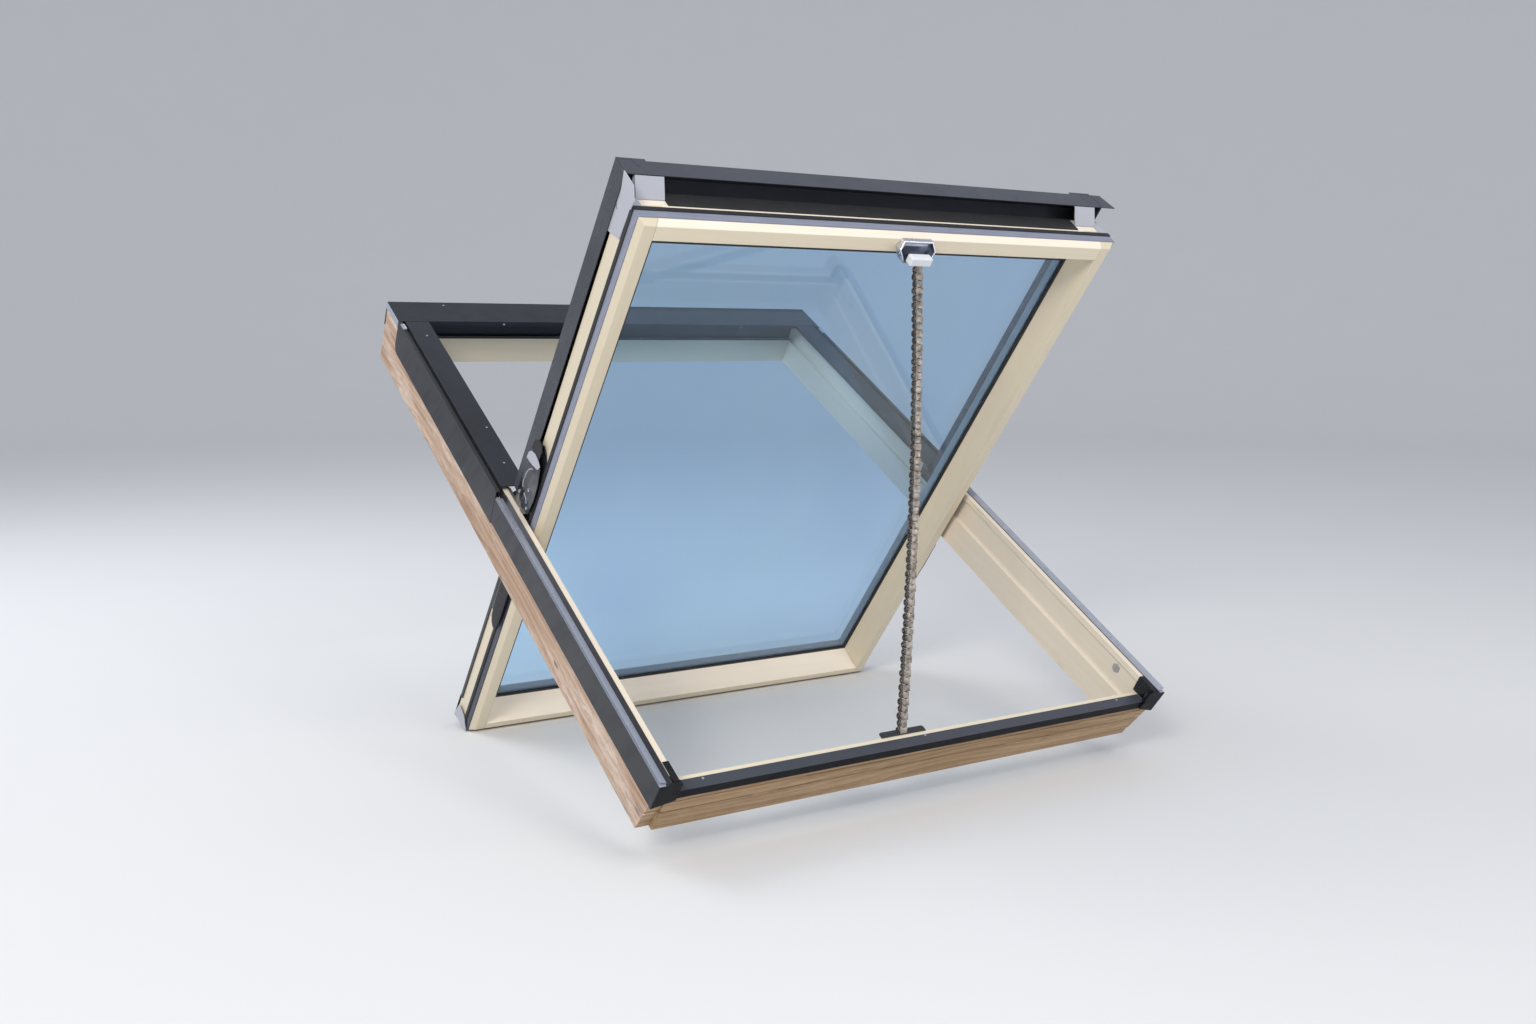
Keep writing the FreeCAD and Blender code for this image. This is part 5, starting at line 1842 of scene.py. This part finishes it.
@dataclass
class Fixings(SubAssembly):
    """Small screw heads in the sheets, at places in mm on the roof plane, with a painted highlight."""

    radius: float = 1.9 * MM

    MIDDLE = (-8, 19.9, -21.9)
    PAIRS = (
        (389.5, 17.7, -21.9),
        (464, 113.5, 3.6),
        (464, 319, 3.6),
        (464, 554, 3.6),
        (429, 719, 13.1),
        (422.6, 825, 13.1),
        (432, 1134, 13.1),
        (364, 1249, 13.1),
        (266, 1178, 13.1),
    )

    def build(self) -> list[Piece]:
        """Make every small head, modelled once and copied.

        Returns:
            The heads, joined into one piece.
        """
        places = [self.MIDDLE] + [(side.sign * x, y, z) for side in Side for x, y, z in self.PAIRS]
        pattern = screw("head", (0, 0, 0), self.radius, (0, 0, 0))
        heads = []
        for place in places:
            head = twin(pattern, "head")
            head.data.transform(Matrix.Translation(Vector(place) * MM))
            heads.append(head)
        bpy.data.objects.remove(pattern)
        return [self.place(join(heads, "sheet_fixings"), "painted_highlight_sheet", Plane.ROOF, "bright_metal")]


@dataclass(frozen=True)
class Lamp:
    """A soft square light: where it stands, what it looks at, its size in metres and its power."""

    name: str
    at: Point
    aim: Point
    size: float
    power: float
    tint: Colour = (1, 1, 1)

    def build(self) -> None:
        """Set up the light."""
        data = bpy.data.lights.new(self.name, "AREA")
        data.size = self.size
        data.energy = self.power
        data.color = self.tint
        lamp = bpy.data.objects.new(self.name, data)
        bpy.context.scene.collection.objects.link(lamp)
        lamp.location = self.at
        aim = Vector(self.aim) - Vector(self.at)
        lamp.rotation_euler = aim.to_track_quat("-Z", "Y").to_euler()


@dataclass
class Studio:
    """Pale floor and backdrop, soft lights and the camera."""

    wardrobe: Wardrobe
    floor_level: float = -47.5 * MM
    floor_radius: float = 8.0
    floor_corners: int = 96
    bend: float = 4.6
    bend_steps: int = 14
    surround: tuple[float, float, float, float] = (0.86, 0.90, 1.0, 1.0)
    surround_strength: float = 0.6
    eye: Point = (-1.2900, -1.6304, 0.6587)
    ahead: Point = (0.53037, 0.83862, -0.12422)
    right: Point = (0.84537, -0.53417, 0.00319)
    lens: float = 32.81
    sensor: float = 36.0

    LAMPS = (
        Lamp("key", (-4.0, -3.0, 3.0), (0, 0.3, 0.4), 1.5, 150, (1.0, 0.965, 0.92)),
        Lamp("front", (2.6, -3.2, 0.6), (0, 0.4, 0.4), 2.0, 22),
        Lamp("top", (0.2, -2.2, 3.3), (0, 0, 0.4), 1.6, 34),
        Lamp("back", (-2.0, 2.6, 2.6), (0.3, 1.6, 0.0), 2.2, 46, (0.92, 0.96, 1.0)),
    )

    def build_floor(self) -> None:
        """Round paper floor whose rim bends up into a low wall."""
        bpy.ops.object.select_all(action="DESELECT")
        bpy.ops.mesh.primitive_circle_add(
            vertices=self.floor_corners,
            radius=self.floor_radius,
            fill_type="NGON",
            location=(0, 0, self.floor_level),
        )
        floor = fix_place("paper_sweep")
        radius, height = self.floor_radius, 0.0
        with editing(floor, Kind.EDGES) as mesh:
            choose(mesh, Kind.EDGES, lambda edge: edge.is_boundary)
            for step in range(1, self.bend_steps + 1):
                turn = QUARTER_TURN * step / self.bend_steps
                new_radius = self.floor_radius + self.bend * math.sin(turn)
                new_height = self.bend * (1 - math.cos(turn))
                share = new_radius / radius
                lift = {"value": (0, 0, new_height - height)}
                bpy.ops.mesh.extrude_edges_move(TRANSFORM_OT_translate=lift)
                bpy.ops.transform.resize(value=(share, share, 1), center_override=(0, 0, 0))
                radius, height = new_radius, new_height
        bpy.ops.object.shade_smooth()
        self.wardrobe.dress(floor, "paper")

    def build_light(self) -> None:
        """Lights, a pale surround and plain picture colours."""
        world = bpy.data.worlds.new("surround")
        bpy.context.scene.world = world
        world.use_nodes = True
        background = world.node_tree.nodes["Background"]
        background.inputs[0].default_value = self.surround
        background.inputs[1].default_value = self.surround_strength
        for lamp in self.LAMPS:
            lamp.build()
        bpy.context.scene.view_settings.view_transform = "Standard"

    def build_camera(self) -> None:
        """Camera at the photograph's place and angle."""
        data = bpy.data.cameras.new("camera")
        data.sensor_width = self.sensor
        data.sensor_fit = "HORIZONTAL"
        data.lens = self.lens
        camera = bpy.data.objects.new("camera", data)
        bpy.context.scene.collection.objects.link(camera)
        right = Vector(self.right).normalized()
        ahead = Vector(self.ahead).normalized()
        turn = Matrix((right, right.cross(ahead), -ahead)).transposed().to_4x4()
        camera.matrix_world = Matrix.Translation(self.eye) @ turn
        bpy.context.scene.camera = camera

    def build(self) -> None:
        """Floor, light and camera."""
        self.build_floor()
        self.build_light()
        self.build_camera()


def main() -> None:
    """Build the window and its studio, and report each piece."""
    logging.basicConfig(level=logging.INFO, format="%(name)s %(message)s")
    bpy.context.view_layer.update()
    wardrobe = Wardrobe()
    wardrobe.stock()
    Studio(wardrobe).build()
    groups = [
        FrameTimber(wardrobe),
        SheetWork(wardrobe),
        SashTimber(wardrobe),
        Glazing(wardrobe),
        Hinges(wardrobe),
        ChainOpener(wardrobe),
        Catches(wardrobe),
        Fixings(wardrobe),
    ]
    for group in groups:
        for piece in group.build():
            LOG.info("%s: %s, %d faces", type(group).__name__, piece.name, len(piece.data.polygons))


if __name__ == "__main__":
    main()
